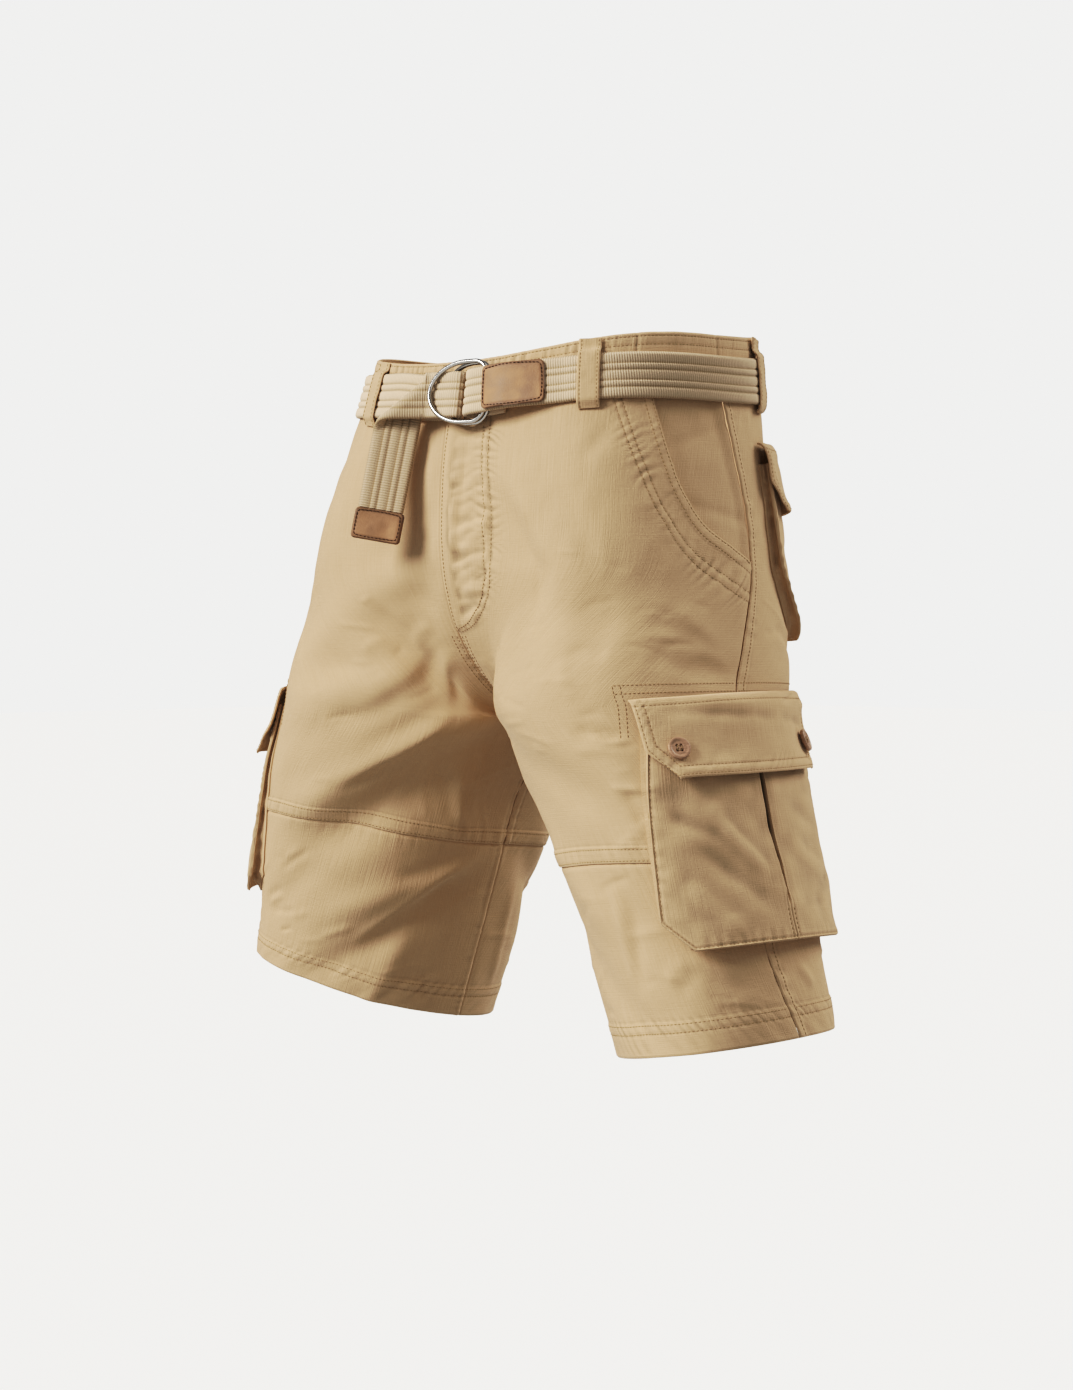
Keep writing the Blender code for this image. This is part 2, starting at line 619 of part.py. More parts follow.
# ---------------------------------------------------------------- belt, loops and buckle
def rib_profile():
    """Places across the webbing and how far each stands out: high on a rib, low in a groove."""
    edges = np.concatenate(([0.0], np.cumsum(BELT_RIBS)))
    places, heights = [], []
    for start, end in zip(edges[:-1], edges[1:]):
        places += [start, (start + end) / 2]
        heights += [0.0, RIB_HEIGHT]
    places.append(edges[-1])
    heights.append(0.0)
    return np.array(places) - BELT_WIDTH / 2, np.array(heights)


def frames(centres, widths):
    """Unit widths square to the path through the centres, and the normals that point out."""
    tangents = unit(np.gradient(centres, axis=0))
    widths = unit(widths - (widths * tangents).sum(-1, keepdims=True) * tangents)
    return widths, np.cross(widths, tangents)


def strap(name, centres, widths, normals, thick, slot, width=None, ribs=False):
    """A strap through its centres; widths are unit vectors across it and normals point out of it."""
    if ribs:
        across, height = rib_profile()
    else:
        across = np.linspace(-width / 2, width / 2, 3)
        height = np.zeros(3)
    line = centres[:, None, :] + across[None, :, None] * widths[:, None, :]
    front = line + (thick / 2 + height)[None, :, None] * normals[:, None, :]
    back = line - thick / 2 * normals[:, None, :]
    return wall(name, front, back, slot)


def belt_top(around):
    """The drop of the belt's upper edge, which is lower at the sides."""
    return 0.0105 + 0.006 * np.sin(np.pi * around)


def on_waist(side, around, out):
    """Centre and width of the belt where it lies on the waistband."""
    top = form(side, around, belt_top(around)) + out * outward(side, around, belt_top(around))
    low = belt_top(around) + BELT_WIDTH
    bottom = form(side, around, low) + out * outward(side, around, low)
    return (top + bottom) / 2, unit(top - bottom)


# The straps' layers at the buckle, as distances of their middles out of the cloth: the webbing
# under the rings, the rear ring, the webbing that comes back over it, and the front ring.
ON_WAIST = BELT_LIE + BELT_CLOTH / 2
UNDER = 0.0036
STRAP_UNDER = 0.0041
REAR_BAR = 0.0072
REAR_ARC = 0.0077
FRONT_BAR = 0.0110
STRAP_TOP = 0.0145
OVER = 0.0118
OVER_EXIT = 0.0136
FRONT_ARC = 0.0180

BAR_X = 0.047
FRONT_ARC_X = -0.003
REAR_ARC_X = 0.0015
STRAP_FOLD_X = 0.0345
STRAP_END_X = 0.060
TAIL_FOLD_X = 0.0165
BELT_END_X = 0.0150
EXIT_X = -0.006

PATCH_START = 0.0485
PATCH_STEPS = 6
PATCH_STEP = 0.0077
PATCH_WIDTH = 0.033
STRAP_LEVEL_END = 0.055
STRAP_DOWN_AT = 0.112
LEATHER = 0.0018
BUCKLE_DIP = 0.0065
DIP_PLACES = (-0.055, -0.005, 0.030, 0.112)


def front_base(x):
    """The place in round, on either side, whose point level with the belt's middle lies at x."""
    arounds = np.linspace(0.0, 0.35, 71)
    points = form(LEFT, arounds, belt_top(arounds) + BELT_WIDTH / 2)
    return float(np.interp(abs(x), points[:, 0], arounds))


def buckle_dip(x):
    """How far the belt sags beside its rings."""
    start, full, level, end = DIP_PLACES
    return BUCKLE_DIP * ease((x - start) / (full - start)) * (1 - np.clip((x - level) / (end - level), 0, 1))


def front_point(x, out):
    """A place in front of the fly, level with the belt's middle: x across, and out from the cloth."""
    side = LEFT if x >= 0 else RIGHT
    around = front_base(x)
    drop = belt_top(around) + BELT_WIDTH / 2 + buckle_dip(x)
    return form(side, around, drop) + out * outward(side, max(around, 0.03), drop)


def front_width(x):
    """The direction up the waistband where the belt passes it at x."""
    side = LEFT if x >= 0 else RIGHT
    width = on_waist(side, max(front_base(x), 0.03), ON_WAIST)[1]
    return width if abs(x) > STRAP_LEVEL_END else unit(width * np.array((0.0, 1.0, 1.0)))


def front_upright():
    """The direction up the front of the waistband, which leans back."""
    drop = float(belt_top(0.03))
    up = form(LEFT, 0.03, drop) - form(LEFT, 0.03, drop + BELT_WIDTH)
    return unit(up * np.array((0.0, 1.0, 1.0)))


def strap_out(x):
    """How far out the belt's middle is beside the rings: high over their bars, then down."""
    share = (x - STRAP_LEVEL_END) / (STRAP_DOWN_AT - STRAP_LEVEL_END)
    return STRAP_TOP + (ON_WAIST - STRAP_TOP) * ease(share)


def make_belt():
    """From behind the rings round the wearer's right, the back and the left, to the rings' strap."""
    patch_end = PATCH_START + PATCH_STEPS * PATCH_STEP
    middle_out, radius = (STRAP_TOP + STRAP_UNDER) / 2, (STRAP_TOP - STRAP_UNDER) / 2
    start = [(x, UNDER) for x in (BELT_END_X, 0.005, -0.005, -0.018)]
    lead = [(x, strap_out(x)) for x in (0.106, 0.100)]
    patch = [(x, strap_out(x)) for x in np.linspace(patch_end, PATCH_START, PATCH_STEPS + 1)]
    fold = [(STRAP_FOLD_X - radius * math.cos(t), middle_out + radius * math.sin(t))
            for t in np.linspace(math.pi / 2, -math.pi / 2, 7)]
    end = [(x, STRAP_UNDER) for x in (0.048, STRAP_END_X)]

    around = [(RIGHT, a) for a in np.linspace(0.10, 1.0, WAIST_COLUMNS)]
    around += [(LEFT, a) for a in np.linspace(1.0, front_base(STRAP_DOWN_AT), WAIST_COLUMNS - 3)[1:]]
    sections = [(front_point(x, out), front_width(x)) for x, out in start]
    sections += [on_waist(side, a, ON_WAIST) for side, a in around]
    first = len(sections) + len(lead)
    sections += [(front_point(x, out), front_width(x)) for x, out in lead + patch + fold + end]
    centres = np.array([centre for centre, _ in sections])
    widths, normals = frames(centres, np.array([width for _, width in sections]))
    strap("belt", centres, widths, normals, BELT_CLOTH, "webbing", ribs=True)
    under_patch = slice(first, first + PATCH_STEPS + 1)
    return centres[under_patch], widths[under_patch], normals[under_patch]


def make_patch(centres, widths, normals):
    """The leather patch, laid along the raised stretch of the belt beside the rings."""
    lie = BELT_CLOTH / 2 + RIB_HEIGHT + SEAM_GAP + LEATHER / 2
    strap("belt_patch", centres + lie * normals, widths, normals, LEATHER, "leather", width=PATCH_WIDTH)


# The free end of the belt: it leaves the rings, turns out from the body, rolls back over itself on
# a slanting line and hangs with its other face out.
TURN_OUT = math.radians(38)
TURN_LENGTH = 0.007
ROLL_RADIUS = 0.0050
ROLL_START = 0.005
ROLL_ANGLE = math.radians(50)
HANG_LENGTH = 0.088
TIP_LENGTH = 0.024


def rolled(along, across):
    """A point of the webbing past the turn: its distances along, up and back, on the roll and beside it."""
    slope, level = math.cos(ROLL_ANGLE), math.sin(ROLL_ANGLE)
    q = (along - ROLL_START) * slope + across * level
    t = across * slope - (along - ROLL_START) * level
    turn = np.clip(q / ROLL_RADIUS, 0, math.pi)
    over = ROLL_RADIUS * np.sin(turn) + np.minimum(q, 0) - np.maximum(q - math.pi * ROLL_RADIUS, 0)
    back = ROLL_RADIUS * (1 - np.cos(turn))
    return ROLL_START + over * slope - t * level, over * level + t * slope, back


def webbing(name, middle, proud):
    """Webbing with ribs on both faces, from the grid of its middle surface."""
    normals = unit(np.cross(np.gradient(middle, axis=1), np.gradient(middle, axis=0)))
    offset = (BELT_CLOTH / 2 + proud)[None, :, None] * normals
    return wall(name, middle + offset, middle - offset, "webbing")


def make_tail():
    across, height = rib_profile()
    up = front_upright()
    radius = (OVER - UNDER) / 2
    path = [front_point(TAIL_FOLD_X + radius * math.cos(t), (OVER + UNDER) / 2 + radius * math.sin(t))
            for t in np.linspace(-math.pi / 2, math.pi / 2, 6)]
    path += [front_point(0.006, (OVER + OVER_EXIT) / 2), front_point(EXIT_X, OVER_EXIT)]
    spot = path[-1]
    heading = 0.0
    for _ in range(3):
        heading += TURN_OUT / 3
        spot = spot + TURN_LENGTH / 3 * np.array((-math.cos(heading), -math.sin(heading), 0.0))
        path.append(spot)
    rows = [centre + across[:, None] * up for centre in path]

    along = np.array((-math.cos(TURN_OUT), -math.sin(TURN_OUT), 0.0))
    rise = unit(up - (up @ along) * along)
    back = np.cross(along, rise)
    back = back if back[1] > 0 else -back
    roll_end = math.pi * ROLL_RADIUS + BELT_WIDTH / 2 * math.sin(ROLL_ANGLE)
    roll_end = ROLL_START + roll_end / math.cos(ROLL_ANGLE)
    steps = np.concatenate((np.linspace(0, roll_end, 16)[1:],
                            np.linspace(roll_end, roll_end + HANG_LENGTH - BELT_WIDTH, 6)[1:]))
    for step in steps:
        forth, height_up, behind = rolled(step, across)
        rows.append(spot + forth[:, None] * along + height_up[:, None] * rise + behind[:, None] * back)
    middle = np.array(rows)
    webbing("belt_tail", middle, height)

    end = middle[-1].mean(axis=0)
    downwards = unit(end - middle[-2].mean(axis=0))
    width = unit(middle[-1][-1] - middle[-1][0])
    tip = np.array([end + downwards * t for t in (SEAM_GAP, TIP_LENGTH / 2, TIP_LENGTH)])
    facing = np.cross(width, downwards)
    strap("belt_tip", tip, np.tile(width, (3, 1)), np.tile(facing, (3, 1)),
          BELT_CLOTH + 2 * LEATHER, "leather", width=BELT_WIDTH + 0.003)


def make_ring(name, arc_x, bar_out, arc_out):
    """A D-ring: a straight bar in the strap's fold, round corners and an oval bow."""
    bar, arc = front_point(BAR_X, bar_out), front_point(arc_x, arc_out)
    along = bar - arc
    width = np.linalg.norm(along)
    along = along / width
    up = front_upright()
    up = unit(up - (up @ along) * along)
    height = (RING_HEIGHT - WIRE) / 2
    bow = width * RING_BOW
    inset = width - RING_CORNER
    bow_turns = np.linspace(-math.pi / 2, math.pi / 2, 15)
    outline = [(bow - bow * math.cos(t), height * math.sin(t)) for t in bow_turns]
    outline += [(inset + RING_CORNER * math.sin(t), height - RING_CORNER + RING_CORNER * math.cos(t))
                for t in np.linspace(0, math.pi / 2, 5)]
    outline += [(inset + RING_CORNER * math.cos(t), -height + RING_CORNER - RING_CORNER * math.sin(t))
                for t in np.linspace(0, math.pi / 2, 5)]
    curve = bpy.data.curves.new(name, "CURVE")
    curve.dimensions = "3D"
    curve.bevel_depth = WIRE / 2
    curve.bevel_resolution = 2
    spline = curve.splines.new("POLY")
    spline.points.add(len(outline) - 1)
    for point, (a, b) in zip(spline.points, outline):
        spot = arc + along * a + up * b
        point.co = (*spot, 1.0)
    spline.use_cyclic_u = True
    ring = bpy.data.objects.new(name, curve)
    bpy.context.collection.objects.link(ring)
    curve.materials.append(material(name, "steel"))
    return ring


LOOPS = (("front_left", LEFT, 0.245), ("front_right", RIGHT, 0.165), ("side_left", LEFT, 0.640),
         ("side_right", RIGHT, 0.640), ("centre_back", LEFT, 1.0))


def make_loop(name, side, around):
    """A belt loop: sewn down at both ends and standing over the belt."""
    over = BELT_LIE + BELT_CLOTH + RIB_HEIGHT + LOOP_LIE + LOOP_CLOTH / 2
    top, bottom = float(belt_top(around)), float(belt_top(around)) + BELT_WIDTH
    on_band = BAND_PROUD + LOOP_LIE + LOOP_CLOTH / 2
    path = ((0.0015, on_band), (top - 0.0055, on_band), (top - 0.0015, over - 0.0005), (top + 0.003, over),
            (BELT_WIDTH / 2 + top, over + 0.0004), (bottom - 0.003, over), (bottom + 0.002, over - 0.0008),
            (bottom + 0.005, 0.0030), (LOOP_LENGTH, LOOP_LIE + LOOP_CLOTH / 2))
    centres = np.array([form(side, around, d) + out * outward(side, around, d) for d, out in path])
    widths = np.tile(unit(form(side, around + 0.01, BAND_DEPTH) - form(side, around - 0.01, BAND_DEPTH)),
                     (len(path), 1))
    widths, normals = frames(centres, widths)
    strap(f"belt_loop_{name}", centres, widths, normals, LOOP_CLOTH, "cloth", width=LOOP_WIDTH)


def main():
    for obj in list(bpy.data.objects):
        bpy.data.objects.remove(obj, do_unlink=True)
    for side in (LEFT, RIGHT):
        make_waistband(side)
        make_panels(side)
        make_pocket_facing(side)
        make_pockets(side)
    make_patch(*make_belt())
    make_tail()
    make_ring("d_ring_front", FRONT_ARC_X, FRONT_BAR, FRONT_ARC)
    make_ring("d_ring_rear", REAR_ARC_X, REAR_BAR, REAR_ARC)
    for name, side, around in LOOPS:
        make_loop(name, side, around)


main()
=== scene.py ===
"""Looks for a pair of worn cargo shorts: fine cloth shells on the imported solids, with their creases,
seams and stitching, and a ribbed webbing belt with its rings and leather.

Metres, +X the wearer's left, -Y the front, +Z up. A place on the cloth is given by its side, by
round (0 at the centre front, 1 at the centre back) and by its drop below the waistband's top.
"""
import math

import bpy
import numpy as np
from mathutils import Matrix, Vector


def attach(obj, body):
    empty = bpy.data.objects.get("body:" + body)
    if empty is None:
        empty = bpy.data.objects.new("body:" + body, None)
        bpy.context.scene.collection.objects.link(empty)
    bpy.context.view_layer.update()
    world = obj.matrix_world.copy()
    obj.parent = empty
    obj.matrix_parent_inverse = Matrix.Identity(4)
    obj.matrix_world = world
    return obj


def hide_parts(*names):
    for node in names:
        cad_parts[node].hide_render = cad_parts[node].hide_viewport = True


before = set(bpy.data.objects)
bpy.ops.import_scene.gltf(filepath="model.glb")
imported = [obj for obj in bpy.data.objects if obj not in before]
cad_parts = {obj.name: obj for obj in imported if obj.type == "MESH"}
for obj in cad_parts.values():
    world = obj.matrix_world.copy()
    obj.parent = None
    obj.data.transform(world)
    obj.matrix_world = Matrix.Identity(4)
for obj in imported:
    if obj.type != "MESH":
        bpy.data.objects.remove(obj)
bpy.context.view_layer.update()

# ---------------------------------------------------------------- driving sizes, as in the solids
LEFT, RIGHT = 1, -1
SIDE_NAMES = {LEFT: "left", RIGHT: "right"}
CLOTH = 0.0015
BAND_DEPTH = 0.040
BAND_PROUD = 0.0008
CROTCH = 0.275
SPLIT_START = 0.140
LEAST_SQUARE = 0.02
BACK_VALLEY = 0.4
RISE_SPAN = 0.16
HEM = 0.505
HEM_DEPTH = 0.022
HEM_PROUD = 0.0008
KNEE = {LEFT: 0.387, RIGHT: 0.375}
KNEE_RISE = 0.008
FRONT_DIP = 0.018
BACK_RISE = 0.014
DIP_FADE = 0.160
POCKET_MOUTH_END = 0.1705
FACING_TUCK = 0.045
FACING_END = 0.182
FACING_CLEAR = 0.0014
BELT_WIDTH = 0.035
BELT_CLOTH = 0.0022
BELT_RIBS = (0.0085, 0.005, 0.008, 0.005, 0.0085)
RIB_HEIGHT = 0.0008
BELT_LIE = 0.0016
LOOP_WIDTH = 0.017
LOOP_LENGTH = 0.0565
LOOP_CLOTH = 0.0018
LOOP_LIE = 0.0006
WIRE = 0.0034
RING_HEIGHT = 0.049
RING_CORNER = 0.012
RING_BOW = 0.62
BUTTON_RADIUS = 0.0084
BUTTON_THICKNESS = 0.0030
BUTTON_LIE = 0.0004
BUTTON_UP = 0.020
GUSSET_LIE = 0.0010
GUSSET_CLEAR = 0.0013
FLY_EDGE = 0.076
FLY_PROUD = 0.0014
FLY_END = 0.216

# The level sections of one side, and how each leg stands: its lift, and its slope outwards and back.
SECTION_COLUMNS = ("drop", "outer", "inner", "front", "back", "valley", "skew", "square", "tilt", "pitch")
SECTIONS = (
    (0.000, 0.157, 0.000, -0.121, 0.116, 0.000, 0.000, 0.020, 0.00, 0.00),
    (0.045, 0.163, 0.000, -0.130, 0.115, 0.004, 0.000, 0.030, 0.00, 0.00),
    (0.100, 0.175, 0.000, -0.142, 0.112, 0.009, 0.000, 0.050, 0.01, 0.00),
    (0.160, 0.189, 0.000, -0.151, 0.106, 0.016, 0.000, 0.060, 0.03, 0.00),
    (0.220, 0.204, 0.000, -0.155, 0.098, 0.020, -0.008, 0.042, 0.05, 0.00),
    (0.275, 0.218, 0.000, -0.151, 0.087, 0.018, -0.015, 0.012, 0.07, -0.01),
    (0.340, 0.232, 0.048, -0.139, 0.075, 0.000, -0.022, 0.028, 0.10, -0.02),
    (0.400, 0.248, 0.072, -0.129, 0.065, 0.000, -0.023, 0.030, 0.14, -0.03),
    (0.470, 0.266, 0.099, -0.121, 0.059, 0.000, -0.020, 0.020, 0.23, -0.08),
    (0.505, 0.273, 0.112, -0.117, 0.055, 0.000, -0.018, 0.020, 0.28, -0.12),
)
STANCE = {LEFT: (-0.002, -0.12, 0.15), RIGHT: (0.0085, -0.04, -0.028)}

# Where the side seam and the hip pocket's mouth run, as (drop, round).
SEAM_LINE = ((0.04, 0.510), (0.09, 0.532), (0.14, 0.553), (0.175, 0.548), (0.21, 0.522), (0.26, 0.503),
             (0.40, 0.490), (0.455, 0.486), (0.505, 0.512))
MOUTH_LINE = ((0.040, 0.358), (0.090, 0.393), (0.1235, 0.424), (0.149, 0.468), (0.1705, 0.548))

# The largest folds, which the solids have too.
FOLD_COLUMNS = ("side", "round_a", "drop_a", "round_b", "drop_b", "width", "rise")
FOLDS = (
    (RIGHT, 0.030, 0.245, 0.235, 0.345, 0.017, 0.0065),
    (RIGHT, 0.045, 0.290, 0.190, 0.362, 0.019, -0.0085),
    (RIGHT, 0.020, 0.190, 0.245, 0.243, 0.014, -0.0050),
    (RIGHT, 0.020, 0.168, 0.250, 0.222, 0.014, 0.0030),
    (RIGHT, 0.040, 0.218, 0.240, 0.285, 0.015, -0.0030),
    (RIGHT, 0.060, 0.392, 0.160, 0.425, 0.011, 0.0035),
    (RIGHT, 0.060, 0.415, 0.185, 0.478, 0.013, -0.0050),
    (RIGHT, 0.110, 0.455, 0.130, 0.495, 0.010, 0.0030),
    (LEFT, 0.060, 0.125, 0.205, 0.245, 0.016, -0.0040),
    (LEFT, 0.120, 0.110, 0.250, 0.215, 0.018, 0.0030),
    (LEFT, 0.060, 0.262, 0.270, 0.330, 0.018, -0.0035),
    (LEFT, 0.050, 0.285, 0.230, 0.400, 0.016, 0.0040),
    (LEFT, 0.120, 0.405, 0.260, 0.480, 0.014, -0.0030),
    (LEFT, 0.300, 0.215, 0.470, 0.250, 0.012, -0.0025),
    (0, 0.960, 0.235, 0.720, 0.300, 0.018, 0.0055),
    (0, 0.950, 0.268, 0.740, 0.345, 0.017, -0.0065),
    (0, 0.900, 0.330, 0.700, 0.395, 0.015, 0.0040),
    (RIGHT, 0.930, 0.400, 0.760, 0.470, 0.015, -0.0045),
    (LEFT, 0.900, 0.425, 0.690, 0.455, 0.015, -0.0040),
)
FOLD_SPAN = 0.55
FOLD_END = 0.035
FOLD_CLEAR = 0.06

# The smaller creases: each runs from a to b with a bend to one side, is narrower on one side where it
# has a lean, and rises, or sinks where rise is negative.
CREASE_COLUMNS = ("side", "round_a", "drop_a", "round_b", "drop_b", "bend", "width", "lean", "rise")
CREASES = (
    (RIGHT, 0.010, 0.225, 0.125, 0.275, 0.004, 0.0068, 0.5, 0.0028),
    (RIGHT, 0.100, 0.262, 0.225, 0.338, -0.004, 0.0061, 0.6, 0.0029),
    (RIGHT, 0.085, 0.285, 0.220, 0.345, 0.003, 0.0068, 0.2, -0.0028),
    (RIGHT, 0.040, 0.383, 0.180, 0.468, 0.003, 0.0041, 0.3, 0.0024),
    (RIGHT, 0.045, 0.378, 0.140, 0.407, -0.002, 0.0061, 0.0, -0.0026),
    (RIGHT, 0.045, 0.398, 0.115, 0.442, 0.002, 0.0061, 0.0, -0.0028),
    (RIGHT, 0.084, 0.310, 0.062, 0.362, 0.002, 0.0036, 0.0, 0.0017),
    (RIGHT, 0.100, 0.318, 0.080, 0.360, -0.002, 0.0040, 0.0, -0.0013),
    (RIGHT, 0.118, 0.325, 0.104, 0.358, 0.002, 0.0032, 0.0, 0.0009),
    (RIGHT, 0.275, 0.250, 0.080, 0.222, 0.004, 0.0082, 0.0, -0.0020),
    (RIGHT, 0.256, 0.288, 0.155, 0.265, 0.003, 0.0082, 0.0, -0.0017),
    (RIGHT, 0.205, 0.221, 0.010, 0.177, 0.006, 0.0090, 0.2, -0.0008),
    (RIGHT, 0.030, 0.208, 0.095, 0.229, 0.002, 0.0048, 0.0, 0.0017),
    (RIGHT, 0.215, 0.392, 0.330, 0.470, 0.004, 0.0109, 0.0, -0.0017),
    (RIGHT, 0.070, 0.470, 0.064, 0.500, 0.001, 0.0041, 0.0, -0.0013),
    (RIGHT, 0.960, 0.400, 0.945, 0.490, 0.003, 0.0048, 0.0, 0.0015),
    (RIGHT, 0.900, 0.390, 0.880, 0.480, -0.003, 0.0061, 0.0, -0.0015),
    (LEFT, 0.041, 0.060, 0.024, 0.205, -0.003, 0.0040, 0.0, -0.0020),
    (LEFT, 0.012, 0.060, 0.012, 0.190, 0.001, 0.0028, 0.0, 0.0007),
    (LEFT, 0.083, 0.100, 0.190, 0.220, -0.005, 0.0068, 0.3, -0.0022),
    (LEFT, 0.110, 0.098, 0.225, 0.215, -0.004, 0.0082, 0.0, 0.0013),
    (LEFT, 0.354, 0.226, 0.432, 0.230, 0.002, 0.0047, 0.4, 0.0008),
    (LEFT, 0.359, 0.207, 0.474, 0.231, -0.003, 0.0070, 0.0, -0.0010),
    (LEFT, 0.390, 0.203, 0.481, 0.234, 0.002, 0.0053, 0.2, 0.0008),
    (LEFT, 0.381, 0.240, 0.463, 0.256, 0.002, 0.0062, 0.0, -0.0008),
    (LEFT, 0.440, 0.235, 0.500, 0.252, 0.002, 0.0053, 0.0, 0.0008),
    (LEFT, 0.278, 0.234, 0.343, 0.240, 0.002, 0.0061, 0.0, -0.0013),
    (LEFT, 0.281, 0.237, 0.321, 0.271, -0.002, 0.0048, 0.0, 0.0011),
    (LEFT, 0.300, 0.292, 0.372, 0.298, 0.002, 0.0044, 0.0, -0.0017),
    (LEFT, 0.290, 0.305, 0.365, 0.306, 0.001, 0.0041, 0.0, 0.0009),
    (LEFT, 0.345, 0.330, 0.366, 0.360, -0.002, 0.0068, 0.0, -0.0020),
    (LEFT, 0.283, 0.382, 0.264, 0.480, 0.003, 0.0054, 0.3, 0.0018),
    (LEFT, 0.306, 0.395, 0.258, 0.478, 0.004, 0.0068, 0.0, -0.0020),
    (LEFT, 0.321, 0.460, 0.370, 0.445, 0.002, 0.0053, 0.0, 0.0010),
    (LEFT, 0.335, 0.468, 0.395, 0.450, 0.002, 0.0053, 0.0, -0.0008),
    (LEFT, 0.365, 0.4415, 0.445, 0.4545, -0.003, 0.0062, 0.2, 0.0008),
    (LEFT, 0.375, 0.455, 0.455, 0.468, -0.003, 0.0062, 0.0, -0.0007),
    (LEFT, 0.384, 0.474, 0.475, 0.476, 0.002, 0.0053, 0.0, 0.0006),
    (LEFT, 0.529, 0.456, 0.560, 0.475, 0.001, 0.0041, 0.0, 0.0015),
    (LEFT, 0.090, 0.335, 0.190, 0.372, 0.004, 0.0088, 0.0, -0.0017),
    (LEFT, 0.560, 0.215, 0.700, 0.262, 0.005, 0.0061, 0.2, -0.0018),
    (LEFT, 0.640, 0.240, 0.860, 0.238, -0.006, 0.0068, 0.2, 0.0022),
    (LEFT, 0.900, 0.250, 0.720, 0.318, 0.005, 0.0068, 0.3, -0.0024),
    (LEFT, 0.930, 0.262, 0.800, 0.335, 0.005, 0.0061, 0.3, 0.0020),
    (LEFT, 0.880, 0.350, 0.760, 0.372, 0.003, 0.0061, 0.0, -0.0018),
    (LEFT, 0.700, 0.395, 0.860, 0.440, 0.004, 0.0068, 0.0, 0.0018),
    (LEFT, 0.640, 0.440, 0.780, 0.486, 0.003, 0.0061, 0.0, -0.0018),
    (RIGHT, 0.560, 0.205, 0.700, 0.252, 0.005, 0.0061, 0.2, -0.0018),
    (RIGHT, 0.660, 0.236, 0.870, 0.246, -0.005, 0.0068, 0.2, 0.0022),
    (RIGHT, 0.890, 0.262, 0.740, 0.330, 0.004, 0.0068, 0.3, -0.0022),
    (RIGHT, 0.940, 0.285, 0.820, 0.350, 0.004, 0.0061, 0.3, 0.0020),
    (RIGHT, 0.870, 0.335, 0.740, 0.362, 0.003, 0.0061, 0.0, -0.0018),
    (RIGHT, 0.690, 0.405, 0.840, 0.452, 0.004, 0.0068, 0.0, 0.0018),
    (RIGHT, 0.640, 0.452, 0.760, 0.488, 0.003, 0.0061, 0.0, -0.0017),
    (0, 0.920, 0.060, 0.905, 0.225, 0.004, 0.0082, 0.0, -0.0015),
    (0, 0.640, 0.060, 0.655, 0.200, 0.003, 0.0082, 0.0, -0.0011),
    (0, 0.300, 0.060, 0.215, 0.100, 0.003, 0.0082, 0.0, -0.0009),
    (RIGHT, 0.020, 0.190, 0.245, 0.243, 0.0, 0.0140, 0.0, 0.0046),
    (LEFT, 0.300, 0.215, 0.470, 0.250, 0.0, 0.0120, 0.0, 0.0015),
    (RIGHT, 0.030, 0.192, 0.100, 0.209, 0.0, 0.0120, 0.0, 0.0022),
    (RIGHT, 0.004, 0.212, 0.230, 0.277, 0.005, 0.0090, 0.5, 0.0036),
    (RIGHT, 0.010, 0.236, 0.210, 0.309, 0.004, 0.0090, 0.0, -0.0030),
    (RIGHT, 0.078, 0.300, 0.056, 0.384, 0.002, 0.0120, 0.0, 0.0038),
    (RIGHT, 0.060, 0.300, 0.160, 0.352, 0.004, 0.0045, 0.0, 0.0014),
)
CREASE_TAPER = 0.30
CREASE_LEAN = 0.6

# The fine wrinkles: for each region its ends in round and drop, the angle of its wrinkles from
# level and how much they differ, how many there are, their longest and how far they rise.
WRINKLE_REGIONS = (
    (LEFT, 0.020, 0.140, 0.235, 0.330, 38, 14, 11, 0.055, 0.0008),
    (LEFT, 0.110, 0.330, 0.150, 0.350, 14, 24, 16, 0.050, 0.0006),
    (LEFT, 0.300, 0.372, 0.270, 0.372, -4, 16, 12, 0.030, 0.0010),
    (LEFT, 0.330, 0.500, 0.195, 0.265, 12, 12, 7, 0.050, 0.0005),
    (LEFT, 0.060, 0.330, 0.392, 0.480, -18, 26, 16, 0.046, 0.0008),
    (LEFT, 0.330, 0.540, 0.440, 0.482, 8, 14, 8, 0.050, 0.0005),
    (RIGHT, 0.030, 0.180, 0.215, 0.330, 24, 10, 8, 0.060, 0.0005),
    (RIGHT, 0.035, 0.120, 0.305, 0.360, 104, 10, 6, 0.040, 0.0008),
    (RIGHT, 0.110, 0.330, 0.150, 0.350, 22, 22, 16, 0.050, 0.0007),
    (RIGHT, 0.030, 0.450, 0.390, 0.482, 30, 24, 20, 0.044, 0.0010),
    (0, 0.570, 0.960, 0.060, 0.240, 4, 30, 16, 0.050, 0.0006),
    (0, 0.570, 0.960, 0.235, 0.362, -14, 20, 22, 0.055, 0.0009),
    (0, 0.590, 0.960, 0.395, 0.480, 10, 24, 16, 0.050, 0.0008),
)


